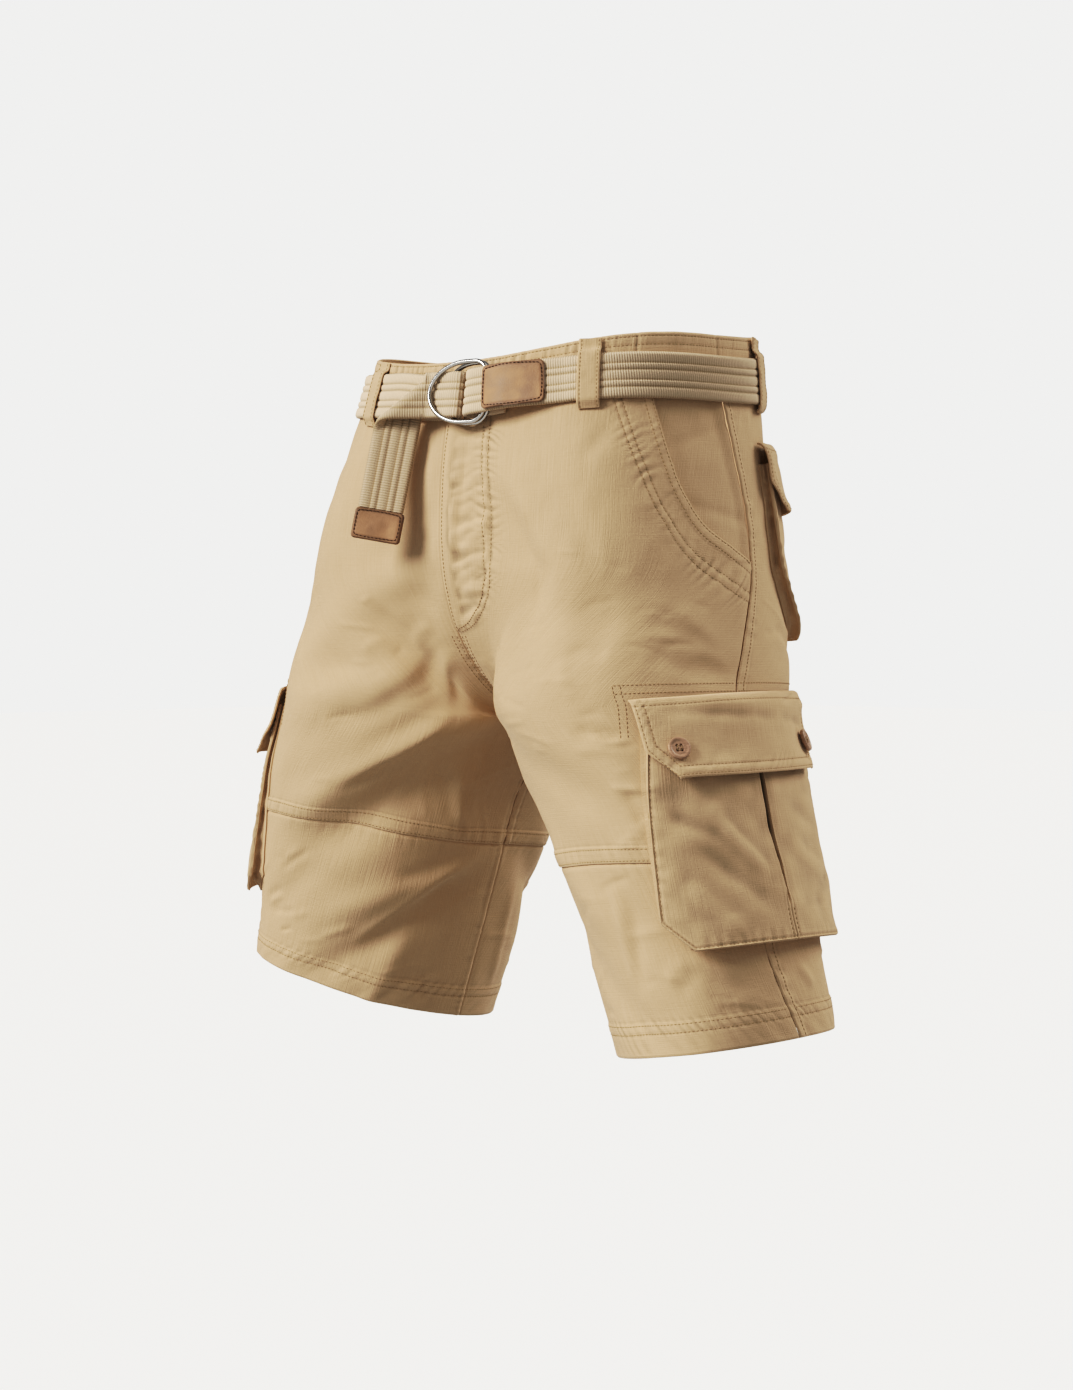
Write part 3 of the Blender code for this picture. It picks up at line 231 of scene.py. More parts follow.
def fine_wrinkles():
    """Rows like those of CREASES, drawn unevenly in each region from a fixed seed."""
    draw = np.random.default_rng(907)
    rows = []
    for side, round_a, round_b, drop_a, drop_b, angle, spread, count, longest, rise in WRINKLE_REGIONS:
        for _ in range(count):
            around, drop = draw.uniform(round_a, round_b), draw.uniform(drop_a, drop_b)
            turn = math.radians(draw.normal(angle, spread / 2))
            half = longest * draw.uniform(0.35, 1.0) / 2
            reach, fall = half * math.cos(turn) / FOLD_SPAN, half * math.sin(turn)
            size = rise * draw.uniform(0.4, 1.2) * draw.choice((1, 1, -1))
            rows.append((side, around - reach, drop - fall, around + reach, drop + fall,
                         half * draw.uniform(-0.16, 0.16), draw.uniform(0.0018, 0.0034),
                         draw.uniform(-0.5, 0.5), size))
    return tuple(rows)


# The bellows pockets. Round and drop place them; stand is how far their face is from the cloth.
POCKET_COLUMNS = ("name", "side", "middle", "half", "top", "bottom", "stand_top", "stand_bottom", "lean",
                  "spread", "sag", "flap_top", "flap_bottom", "flap_lean", "flap_lift", "corner", "tilt_top",
                  "tilt_foot", "buttons", "pleat")
CARGO_BUTTONS = (-0.062, 0.062)
POCKETS = (
    ("cargo", LEFT, 0.508, 0.091, 0.283, 0.440, 0.0065, 0.0130, 0.004,
     0.010, 0.001, 0.268, 0.327, 0.012, 0.0060, 0.020, -0.035, 0.030, CARGO_BUTTONS, 0.0045),
    ("cargo", RIGHT, 0.508, 0.091, 0.283, 0.444, 0.0050, 0.0120, 0.004,
     0.006, 0.001, 0.268, 0.328, 0.008, 0.0105, 0.018, 0.0, 0.0, CARGO_BUTTONS, 0.0045),
    ("back", 0, 0.765, 0.072, 0.096, 0.228, 0.0075, 0.0125, 0.003,
     0.000, 0.001, 0.080, 0.132, 0.003, 0.0050, 0.018, 0.0, 0.0, (0.0,), None),
)
STAND_GROWTH = 1.3
FLAP_LIE = 0.0012
FLAP_OVERHANG = 0.003
FLAP_CORNER = 0.020


# ---------------------------------------------------------------- the cloth's surface
def smooth(knots, values, x):
    """A smooth curve through the knots: a cubic with slopes between its neighbours' slopes."""
    knots = np.asarray(knots, float)
    values = np.asarray(values, float)
    steps = np.diff(knots)
    slopes = np.diff(values) / steps
    tangents = np.concatenate((slopes[:1], slopes[:-1], slopes[-1:]))
    tangents[1:-1] = (slopes[:-1] * steps[1:] + slopes[1:] * steps[:-1]) / (steps[:-1] + steps[1:])
    i = np.clip(np.searchsorted(knots, x) - 1, 0, len(steps) - 1)
    t = (x - knots[i]) / steps[i]
    return ((2 * t**3 - 3 * t**2 + 1) * values[i] + (t**3 - 2 * t**2 + t) * steps[i] * tangents[i]
            + (3 * t**2 - 2 * t**3) * values[i + 1] + (t**3 - t**2) * steps[i] * tangents[i + 1])


def ease(share):
    """From 0 to 1 with level ends."""
    share = np.clip(share, 0, 1)
    return share * share * (3 - 2 * share)


def portion(value, start, end):
    """How far a value is from start to end, between 0 and 1."""
    return np.clip((value - start) / (end - start), 0, 1)


def paired(around, drop):
    return np.broadcast_arrays(np.asarray(around, float), np.asarray(drop, float))


def from_middles(around):
    """How far a place is from the nearer of the centre front and the centre back."""
    return np.minimum(around, 1 - np.asarray(around))


def section(drop):
    """The named sizes of the section at a drop."""
    table = np.array(SECTIONS)
    sizes = {name: smooth(table[:, 0], table[:, i], drop) for i, name in enumerate(SECTION_COLUMNS) if i}
    sizes["inner"] = np.maximum(sizes["inner"], 0.0)
    return sizes


def form(side, around, drop):
    """The garment's form without its folds, as an array of points."""
    around, drop = paired(around, drop)
    q = section(drop)
    middle = (q["front"] + q["back"]) / 2
    half = (q["back"] - q["front"]) / 2

    angle = np.pi * around
    ahead, behind = np.clip(np.cos(angle), 0, 1), np.clip(-np.cos(angle), 0, 1)
    square = q["square"] * (1 + np.cos(angle)) / 2 + LEAST_SQUARE
    body_x = q["outer"] * (np.sin(angle) + square * np.sin(3 * angle)) / (1 - square)
    body_y = middle - half * (np.cos(angle) - square * np.cos(3 * angle)) / (1 - square)
    body_y = body_y + q["valley"] * ahead**6 - BACK_VALLEY * q["valley"] * behind**6

    turn = 2 * angle
    centre = (q["outer"] + q["inner"]) / 2
    reach = (q["outer"] - q["inner"]) / 2
    leg_x = centre - reach * (np.cos(turn) - q["square"] * np.cos(3 * turn)) / (1 - q["square"])
    leg_y = middle - half * (np.sin(turn) + q["square"] * np.sin(3 * turn)) / (1 - q["square"])
    leg_y = leg_y - q["skew"] * np.cos(turn)

    share = portion(drop, SPLIT_START, CROTCH)
    from_seam = ease(from_middles(around) / RISE_SPAN)
    split = (1 - np.sqrt(1 - share**2)) * (1 - from_seam) + ease((share - 0.2) / 0.8) * from_seam
    x = body_x * (1 - split) + leg_x * split
    y = body_y * (1 - split) + leg_y * split

    fade = portion(drop, DIP_FADE, 0)**2
    z = -drop + q["tilt"] * (x - q["outer"] + (q["outer"] - q["inner"]) / 4) + q["pitch"] * (y - middle)
    z = z + fade * (BACK_RISE * behind**2 - FRONT_DIP * ahead**3)
    lift, outwards, backwards = STANCE[side]
    z = z + portion(drop, CROTCH, HEM)**2 * (lift + outwards * (x - centre) + backwards * (y - middle))
    return np.stack((side * x, y, z), axis=-1)


def beside(fold, around, drop):
    """The length of a fold, and how far a place is along it and to its side."""
    start = np.array((fold["round_a"] * FOLD_SPAN, fold["drop_a"]))
    run = np.array((fold["round_b"] * FOLD_SPAN, fold["drop_b"])) - start
    length = np.linalg.norm(run)
    run = run / length
    across, down = around * FOLD_SPAN - start[0], drop - start[1]
    return length, across * run[0] + down * run[1], across * run[1] - down * run[0]


def named_rows(columns, table):
    return [dict(zip(columns, row)) for row in table]


ALL_FOLDS = named_rows(FOLD_COLUMNS, FOLDS)
ALL_CREASES = named_rows(CREASE_COLUMNS, CREASES + fine_wrinkles())


def folds(side, around, drop):
    """How far the largest folds stand out, or in, at a place."""
    around, drop = paired(around, drop)
    total = np.zeros(drop.shape)
    for fold in ALL_FOLDS:
        if fold["side"] in (0, side):
            length, along, aside = beside(fold, around, drop)
            past = np.maximum(np.maximum(-along, along - length), 0)
            total = total + fold["rise"] * np.exp(-(aside / fold["width"])**2 - (past / FOLD_END)**2)
    return total * ease(from_middles(around) / FOLD_CLEAR)


def creases(side, around, drop):
    """How far the smaller creases stand out, or in, at a place."""
    around, drop = paired(around, drop)
    total = np.zeros(drop.shape)
    for crease in ALL_CREASES:
        if crease["side"] in (0, side):
            length, along, aside = beside(crease, around, drop)
            share = along / length
            aside = aside - 4 * crease["bend"] * share * (1 - share)
            width = crease["width"] * (1 + crease["lean"] * np.sign(aside) * CREASE_LEAN)
            ends = ease(share / CREASE_TAPER) * ease((1 - share) / CREASE_TAPER)
            total = total + crease["rise"] * np.exp(-(aside / width)**2) * ends
    return total


LATTICE = 60


def ripple(seed, x, y, scale):
    """Soft unevenness between -1 and 1 over places in metres, from a lattice of fixed values."""
    lattice = np.random.default_rng(seed).uniform(-1, 1, (LATTICE + 1, LATTICE + 1))
    x, y = np.broadcast_arrays(np.asarray(x, float) / scale, np.asarray(y, float) / scale)
    i, j = np.floor(x).astype(int), np.floor(y).astype(int)
    u, v = ease(x - i), ease(y - j)
    i, j = i % LATTICE, j % LATTICE
    after_i, after_j = (i + 1) % LATTICE, (j + 1) % LATTICE
    low = lattice[i, j] * (1 - u) + lattice[after_i, j] * u
    high = lattice[i, after_j] * (1 - u) + lattice[after_i, after_j] * u
    return low * (1 - v) + high * v


def unit(vectors):
    return vectors / np.maximum(np.linalg.norm(vectors, axis=-1, keepdims=True), 1e-12)


def outward(side, around, drop, step=0.002):
    """The unit vector that points out of the cloth."""
    across = form(side, around + step, drop) - form(side, around - step, drop)
    down = form(side, around, drop + step) - form(side, around, drop - step)
    return -side * unit(np.cross(across, down))


# Creases fade out within this part of the way round, so that two panels meet at a seam.
SEAM_CALM = 0.012
# Unevenness of the whole cloth: a seed, its height and the size of its patches.
UNEVEN = ((0, 0.0011, 0.046), (10, 0.0004, 0.016))


def place(side, around, drop, out=0.0):
    """Points of the cloth's outer face with its folds and creases, moved out of it."""
    around, drop, out = np.broadcast_arrays(np.asarray(around, float), np.asarray(drop, float), out)
    seed = 3 if side == LEFT else 4
    reach = around * FOLD_SPAN
    uneven = sum(height * ripple(seed + more, reach, drop, size) for more, height, size in UNEVEN)
    calm = ease(from_middles(around) / SEAM_CALM)
    lift = out + folds(side, around, drop) + calm * (creases(side, around, drop) + uneven)
    return form(side, around, drop) + lift[..., None] * outward(side, around, drop)


def girth(drop):
    """The length of a section's outline, for one unit of round."""
    q = section(drop)
    half = (q["back"] - q["front"]) / 2
    body = math.pi * np.sqrt((q["outer"]**2 + half**2) / 2)
    leg = 2 * math.pi * np.sqrt((((q["outer"] - q["inner"]) / 2)**2 + half**2) / 2)
    share = portion(drop, SPLIT_START, CROTCH)**2
    return body * (1 - share) + leg * share


def side_seam(drop):
    return smooth(*np.transpose(SEAM_LINE), drop)


def pocket_mouth(drop):
    return smooth(*np.transpose(MOUTH_LINE), drop)


def knee(side, around):
    """The drop of the knee seam, which is a little higher in front than behind."""
    return KNEE[side] - KNEE_RISE * np.sin(2 * np.pi * around)


# ---------------------------------------------------------------- relief of seams and sewing
def bead(distance, at, width, height):
    """A soft ridge along a line, or a groove where height is negative."""
    return height * np.exp(-((distance - at) / width)**2)


# Doubled cloth: how far it reaches from its edge, over what distance it ends, and how high it stands.
DOUBLED = {
    "mouth": (0.0085, 0.0020, 0.0006), "seat": (0.0060, 0.0020, 0.0004), "strip": (0.0080, 0.0020, 0.0006),
    "knee": (0.0110, 0.0012, 0.0009), "hem": (HEM_DEPTH, 0.0016, HEM_PROUD),
}
# Cloth that turns in at its edge: over what distance, and how deep.
EDGES = {
    "seam": (0.0012, 0.0007), "strip": (0.0010, 0.0008), "rise": (0.0016, 0.0009), "seat": (0.0016, 0.0008),
    "waist": (0.0020, 0.0010), "knee": (0.0010, 0.0007), "inseam": (0.0010, 0.0006), "hem": (0.0014, 0.0008),
    "face": (0.0016, 0.0012), "flap": (0.0020, 0.0012), "loop": (0.0016, 0.0010),
}
# Gathers beside rows of stitches: how far apart they are, how far they reach from the row, how high
# they stand, the seed of their unevenness and their slant.
GATHERS = {
    "mouth": (0.0075, 0.0100, 0.00034, 21, 0.0),
    "mouth_inner": (0.0075, 0.0100, 0.00055, 25, 0.0),
    "fly": (0.0062, 0.0080, 0.00050, 33, 0.3),
    "rise": (0.0090, 0.0060, 0.00040, 35, 0.0),
    "seat": (0.0110, 0.0080, 0.00050, 37, 0.0),
    "strip": (0.0110, 0.0070, 0.00040, 51, 0.0),
    "waist": (0.0062, 0.0065, 0.00062, 81, 0.0),
    "knee": (0.0090, 0.0080, 0.00026, 41, 0.0),
    "below_knee": (0.0110, 0.0100, 0.00020, 45, 0.0),
    "inseam": (0.0100, 0.0070, 0.00035, 71, 0.0),
    "hem": (0.0085, 0.0060, 0.00036, 61, 0.6),
    "hem_edge": (0.0150, 0.0070, 0.00030, 65, 0.4),
    "face_side": (0.0085, 0.0080, 0.00040, 123, 0.0),
    "face_foot": (0.0095, 0.0080, 0.00036, 124, 0.0),
    "flap": (0.0110, 0.0080, 0.00030, 143, 0.0),
    "gusset": (0.0130, 0.0100, 0.00120, 164, 0.0),
}


def doubled(kind, distance):
    """Cloth that is doubled from a line to a distance from it."""
    end, soft, height = DOUBLED[kind]
    return height * (1 - ease((distance - end) / soft + 0.5))


def rolled_edge(kind, distance):
    """Cloth that turns in at its edge."""
    reach, depth = EDGES[kind]
    return -depth * np.clip(1 - distance / reach, 0, 1)**2


def gathers(kind, along, distance, more=0):
    """Small gathers that cross a row of stitches, uneven in size and spacing."""
    apart, reach, height, seed, slant = GATHERS[kind]
    seed = seed + more
    along = along + slant * distance
    phase = along / apart + 1.3 * ripple(seed, along, distance * 0.6, apart * 2.3)
    strength = 0.58 + 0.42 * ripple(seed + 1, along, 0, apart * 2.2)
    fine = 0.35 * ripple(seed + 2, along, distance * 0.5, apart * 0.55)
    return height * (strength * np.sin(2 * np.pi * phase) + fine) * np.exp(-(distance / reach)**2)


ROW = 0.0008
ROW_DEPTH = -0.00034

# Rows of stitches, by their distance from an edge or a seam.
KNEE_ROWS = (0.0016, 0.0092)
HEM_ROWS = (0.0205, 0.0150)
MOUTH_ROWS = (0.0016, 0.0075)
MOUTH_INNER_START = (0.0250, 0.0310)
MOUTH_INNER_END = (0.0180, 0.0238)
MOUTH_LENGTH = 0.2
SEAM_ROW = 0.0062
FLY_J_TURN = 0.178
FLY_J_END = 0.2135
FLY_J_ROWS = (0.0, 0.0042)
WAIST_ROWS = (0.0030, 0.0095)
FLY_EDGE_ROW = 0.0022
SEAT_ROWS = (0.0018, 0.0062)
RISE_ROWS = (0.0024, 0.0065)
BAND_SEAMS = (0.331, 0.505, 1.0)


def sewn(distance, *rows):
    """The dents that rows of stitches pull into the cloth at these distances from an edge."""
    return sum(bead(distance, at, ROW, ROW_DEPTH) for at in rows)


def mouth_curve():
    """The hip pocket's edge in metres across and down, run on a little past the side seam."""
    drops = np.linspace(BAND_DEPTH - 0.004, POCKET_MOUTH_END, 90)
    line = np.stack((pocket_mouth(drops) * girth(drops), drops), -1)
    tail = unit(line[-1] - line[-4])
    return np.concatenate((line, line[-1] + tail * np.linspace(0.001, 0.030, 30)[:, None]))


def mouth_distance(around, drop):
    """The distance of a place on the front from the edge of the hip pocket's mouth, and how far along."""
    line = mouth_curve()
    spot = np.stack(np.broadcast_arrays(around * girth(drop), drop), -1)
    nearest = np.full(spot.shape[:-1], np.inf)
    along = np.zeros(spot.shape[:-1])
    for k, (a, b) in enumerate(zip(line[:-1], line[1:])):
        run = b - a
        share = np.clip(((spot - a) * run).sum(-1) / (run**2).sum(), 0, 1)
        away = np.linalg.norm(spot - a - share[..., None] * run, axis=-1)
        along = np.where(away < nearest, k + share, along)
        nearest = np.minimum(nearest, away)
    return nearest, along / (len(line) - 1)


def mouth_rows(share):
    """How far each row is from the hip pocket's edge: the second pair closes in downwards."""
    inner = (start + (end - start) * share for start, end in zip(MOUTH_INNER_START, MOUTH_INNER_END))
    return (*MOUTH_ROWS, *inner)


def mouth_row(distances):
    """Places in round and drop beside the hip pocket's mouth, at a distance from each of its points."""
    line = mouth_curve()
    run = unit(np.gradient(line, axis=0))
    away = np.stack((-run[:, 1], run[:, 0]), -1) * np.broadcast_to(distances, len(line))[:, None]
    across, drop = (line + away).T
    around = across / girth(drop)
    chosen = (drop > BAND_DEPTH + 0.001) & (around < side_seam(drop) - 0.002)
    return around[chosen], drop[chosen]


def fly_j(drop):
    """The place in round of the fly's J-shaped row, which turns in to the seam at its foot."""
    turn = portion(drop, FLY_J_TURN, FLY_J_END)
    return FLY_EDGE * (1 - 0.12 * drop / FLY_J_END) * np.sqrt(1 - turn**2)


def mouth_relief(around, drop):
    """The hip pocket's mouth: its doubled edge, its rows and the gathers beside them."""
    from_mouth, share = mouth_distance(around, drop)
    rows = mouth_rows(share)
    inner = (rows[2] + rows[3]) / 2
    edge = np.where(drop < POCKET_MOUTH_END, from_mouth, 1.0)
    relief = doubled("mouth", edge) + rolled_edge("seam", edge) + sewn(from_mouth, *rows)
    relief = relief + gathers("mouth", MOUTH_LENGTH * share, from_mouth - 0.006)
    relief = relief + gathers("mouth_inner", MOUTH_LENGTH * share, from_mouth - inner)
    return relief + bead(from_mouth, inner, 0.0024, 0.0002)


def fly_relief(from_j, from_middle, drop):
    """The fly's doubled cloth, with its J-shaped rows and the crumpled strip inside them."""
    relief = FLY_PROUD * (0.45 * ease(from_j / 0.003 + 0.5) + 0.9 * ease((0.010 - from_middle) / 0.006))
    relief = relief + sewn(from_j, *FLY_J_ROWS)
    relief = relief + gathers("fly", drop, from_j - 0.002)
    inside = ease(from_j / 0.004) * ease((from_middle - 0.006) / 0.004)
    inside = inside * (0.35 + 0.65 * ease((drop - 0.08) / 0.06))
    crumple = ripple(301, from_middle * 0.6 + drop * 0.45, drop * 0.9 - from_middle * 0.3, 0.0088)
    crumple = crumple + 0.4 * ripple(302, from_middle * 0.6 + drop * 0.5, drop, 0.0060)
    return (relief + inside * (0.0006 + 0.0023 * crumple)) * ease((FLY_END - drop) / 0.008)


def front_relief(side, around, drop):
    """An upper front: the hip pocket's mouth, the side seam, the knee band, the fly and the rise."""
    scale = girth(drop)
    from_seam, from_middle = (side_seam(drop) - around) * scale, around * scale
    below_mouth = ease((drop - POCKET_MOUTH_END - 0.004) / 0.01)
    relief = mouth_relief(around, drop) + knee_band(side, around, drop)
    relief = relief + below_mouth * (rolled_edge("seam", from_seam) + bead(from_seam, 0.0, 0.004, -0.0004))
    if side == LEFT:
        relief = relief + fly_relief((fly_j(drop) - around) * scale, from_middle, drop)
    below_fly = ease((drop - FLY_END + 0.006) / 0.006)
    rise = sewn(from_middle, 0.003) + gathers("rise", drop, from_middle)
    return relief + rolled_edge("rise", from_middle) + below_fly * rise


def knee_band(side, around, drop):
    """The doubled band over the knee seam, with two rows and small gathers."""
    above = knee(side, around) - drop
    band = doubled("knee", above) + rolled_edge("knee", above) + sewn(above, *KNEE_ROWS)
    return band + gathers("knee", around * girth(drop), above - 0.005, side)


def back_relief(side, around, drop):
    """An upper back: the strip at the side seam, the seat seam with its two rows, and the knee band."""
    from_seam, from_middle = (around - side_seam(drop)) * girth(drop), (1 - around) * girth(drop)
    relief = seam_strip(from_seam, drop) + rolled_edge("seat", from_middle) + doubled("seat", from_middle)
    relief = relief + sewn(from_middle, *SEAT_ROWS) + gathers("seat", drop, from_middle)
    return relief + knee_band(side, around, drop)


def seam_strip(from_seam, drop):
    """The strip beside the side seam, where the back's cloth is doubled under a row of stitches."""
    strip = doubled("strip", from_seam) + rolled_edge("strip", from_seam) + sewn(from_seam, SEAM_ROW)
    return strip + gathers("strip", drop, from_seam - 0.004)


def lower_relief(side, around, drop):
    """What the front and back panels below the knee share: the knee's edge and the hem."""
    below_knee, above_hem = drop - knee(side, around), HEM - drop
    along = around * girth(drop)
    relief = bead(below_knee, 0.0, 0.0014, -0.0009) + doubled("hem", above_hem)
    relief = relief + sewn(above_hem, *HEM_ROWS) + rolled_edge("hem", above_hem)
    gathered = gathers("below_knee", along, below_knee, side)
    gathered = gathered + gathers("hem", along, above_hem - 0.018, side)
    gathered = gathered + gathers("hem_edge", along, above_hem - 0.006, side)
    return relief + gathered * ease(from_middles(around) / SEAM_CALM)


def lower_front_relief(side, around, drop):
    """A lower front, whose edge laps over the inseam as a thin ridge."""
    from_seam, from_inseam = (side_seam(drop) - around) * girth(drop), around * girth(drop)
    ridge = bead(from_inseam, 0.0022, 0.0016, 0.0007) + rolled_edge("inseam", from_inseam)
    ridge = ridge + gathers("inseam", drop, from_inseam)
    return lower_relief(side, around, drop) + rolled_edge("seam", from_seam) + ridge


def lower_back_relief(side, around, drop):
    from_seam, from_inseam = (around - side_seam(drop)) * girth(drop), (1 - around) * girth(drop)
    return lower_relief(side, around, drop) + seam_strip(from_seam, drop) + rolled_edge("seam", from_inseam)


def band_relief(_, around, drop):
    """The waistband, on either side: a rolled top edge, two rows, its seams, and gathers, most in front."""
    along = around * girth(drop)
    front = ease((0.36 - around) / 0.06)
    relief = rolled_edge("waist", drop) + sewn(drop, *WAIST_ROWS)
    relief = relief + (0.25 + 0.75 * front) * gathers("waist", along, drop - 0.0065)
    for at in BAND_SEAMS:
        relief = relief + bead(along, at * girth(drop), 0.0012, -0.0007)
    return relief + bead(BAND_DEPTH - drop, 0.0, 0.0016, -0.0006)


RELIEFS = {
    "front": front_relief, "back": back_relief, "lower_front": lower_front_relief,
    "lower_back": lower_back_relief, "waistband": band_relief,
}


def lie(kind, side, around, drop):
    """Points on a panel, with the relief of its seams."""
    around, drop = paired(around, drop)
    return place(side, around, drop, RELIEFS[kind](side, around, drop))


# ---------------------------------------------------------------- making meshes
def knots(*stretches):
    """Places along a line: each stretch is its start, its end and its number of steps, a multiple of 3."""
    parts = [np.linspace(a, b, n, endpoint=False) for a, b, n in stretches]
    return np.append(np.concatenate(parts), stretches[-1][1])


def new_object(name, verts, faces, material):
    mesh = bpy.data.meshes.new(name)
    mesh.from_pydata(np.asarray(verts).tolist(), [], faces)
    mesh.update()
    mesh.shade_smooth()
    obj = bpy.data.objects.new(name, mesh)
    bpy.context.scene.collection.objects.link(obj)
    mesh.materials.append(material)
    return obj


def dress(obj, slot, *nodes):
    """Puts a piece on the part's one body and hides the solids that it replaces; slot is not used."""
    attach(obj, "root")
    if nodes:
        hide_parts(*nodes)


def stacked(*grids):
    """The points of several grids in one list."""
    return np.concatenate([grid.reshape(-1, grid.shape[-1]) for grid in grids])


def numbered(grid, first=0):
    """The numbers of a grid's points in such a list."""
    return np.arange(grid[..., 0].size).reshape(grid.shape[:2]) + first


def quads(index, forward):
    """The faces of a grid of points."""
    a, b, c, d = index[:-1, :-1], index[:-1, 1:], index[1:, 1:], index[1:, :-1]
    return np.stack((a, d, c, b) if forward else (a, b, c, d), -1).reshape(-1, 4).tolist()


def rim(fine, coarse, stops, turned):
    """The faces between two edges: stops are the places along the fine one of the coarse one's points."""
    faces = []
    for k, (start, end) in enumerate(zip(stops[:-1], stops[1:])):
        loop = [int(v) for v in (*fine[start:end + 1], coarse[k + 1], coarse[k])]
        faces.append(loop if turned else loop[::-1])
    return faces


def tube_faces(first, sides, rings):
    """The faces round a stack of rings of points."""
    faces = []
    for ring in range(rings - 1):
        a = first + ring * sides
        b = a + sides
        faces += [(a + k, a + (k + 1) % sides, b + (k + 1) % sides, b + k) for k in range(sides)]
    return faces


def set_uv(obj, uv):
    """Gives each corner its vertex's place in the cloth, in metres."""
    mesh = obj.data
    corners = np.empty(len(mesh.loops), int)
    mesh.loops.foreach_get("vertex_index", corners)
    layer = mesh.uv_layers.new(name="cloth")
    layer.uv.foreach_set("vector", np.asarray(uv, np.float32)[corners].ravel())


def set_shade(obj, values):
    """Gives each vertex a number: above 0 for worn cloth, below 0 for what lies in shade."""
    attribute = obj.data.attributes.new("wear_and_shade", "FLOAT", "POINT")
    attribute.data.foreach_set("value", np.asarray(values, np.float32))


# Where each kind of piece is cut from the cloth, so that their patches differ.
CUT_AT = {"front": 0.0, "back": 0.7, "facing": 0.3, "face": 1.2, "flap": 2.2, "gusset": 3.0, "loop": 4.0}


def cloth_uv(kind, across, down):
    """Places in the cloth, in metres."""
    return np.stack(np.broadcast_arrays(across + CUT_AT[kind], down), -1)


def grid_normals(points, hint):
    """Unit normals of a grid of points, on the side that hint points to."""
    normals = unit(np.cross(np.gradient(points, axis=0), np.gradient(points, axis=1)))
    flip = np.sign(np.nanmean((normals * hint).sum(-1)))
    return normals * (flip if flip else 1.0)


COARSE = 3
SHARP = math.radians(50)


def shell(name, points, hint, thick, uv, wear_and_shade=None):
    """A thin closed shell of cloth: its outer face is the fine grid, its inner face a coarser one."""
    normals = grid_normals(points, hint)
    inner = (points - thick * normals)[::COARSE, ::COARSE]
    outside = numbered(points)
    inside = numbered(inner, outside.size)
    turn = np.cross(points[1, 0] - points[0, 0], points[0, 1] - points[0, 0])
    forward = bool(turn @ normals[0, 0] > 0)
    faces = quads(outside, forward) + quads(inside, not forward)
    edges = ((outside[0], inside[0], False), (outside[-1], inside[-1], True),
             (outside[:, 0], inside[:, 0], True), (outside[:, -1], inside[:, -1], False))
    for fine, coarse, turned in edges:
        faces += rim(fine, coarse, range(0, len(fine), COARSE), turned == forward)
    obj = new_object(name, stacked(points, inner), faces, MATERIALS["cloth"])
    obj.data.set_sharp_from_angle(angle=SHARP)
    set_uv(obj, stacked(uv, uv[::COARSE, ::COARSE]))
    shade = np.zeros(outside.shape) if wear_and_shade is None else wear_and_shade
    set_shade(obj, np.concatenate((shade.ravel(), np.zeros(inside.size))))
    return obj


def cut_size(points):
    """Width, length and area of the flat cut that a grid of points would take."""
    across = np.linalg.norm(np.diff(points, axis=1), axis=-1)
    down = np.linalg.norm(np.diff(points, axis=0), axis=-1)
    cells = np.cross(points[1:, :-1] - points[:-1, :-1], points[:-1, 1:] - points[:-1, :-1])
    return across.sum(1).max(), down.sum(0).max(), np.linalg.norm(cells, axis=-1).sum()


LEAST_AREA = 0.31


def as_cloth(obj, plain, *nodes, held="hung", on=()):
    """Puts a cloth piece on the body and hides what it replaces; its cut is sized but not used; held and on
    are not used.
    """
    width, length, area = cut_size(plain)
    dress(obj, "cloth", *nodes)
    area = min(max(area, LEAST_AREA * width * length), width * length)


# ---------------------------------------------------------------- stitches
STITCHES = []
STITCH = 0.0023
STITCH_PITCH = 0.0031
STITCH_RADIUS = 0.00034
STITCH_LIFT = 0.0001
# A stitch's rings of four points, and the points at its ends: how high they lie and how wide they are,
# in radii.
STITCH_RINGS = ((-0.5, 0.55), (0.35, 1.0), (-0.5, 0.55))
STITCH_END = 1.3
STITCH_POINTS = 14


def reaches(points):
    """How far along a line each of its points is."""
    steps = np.maximum(np.linalg.norm(np.diff(points, axis=0), axis=1), 1e-7)
    return np.concatenate(([0], np.cumsum(steps)))


def read_line(at, reach, points):
    """The points of a line at some distances along it."""
    return np.stack([np.interp(at, reach, points[:, k]) for k in range(3)], -1)


def sew(points, normals, lift=STITCH_LIFT, pitch=STITCH_PITCH):
    """Adds a row of stitches along a line of points on the cloth."""
    points, normals = np.asarray(points, float), np.asarray(normals, float)
    reach = reaches(points)
    count = max(int(reach[-1] / pitch), 1)
    middles = (np.arange(count) + 0.5) * reach[-1] / count
    spots = [read_line(at, reach, points) for at in (middles - STITCH / 2, middles, middles + STITCH / 2)]
    STITCHES.append((spots, unit(read_line(middles, reach, normals)), lift))


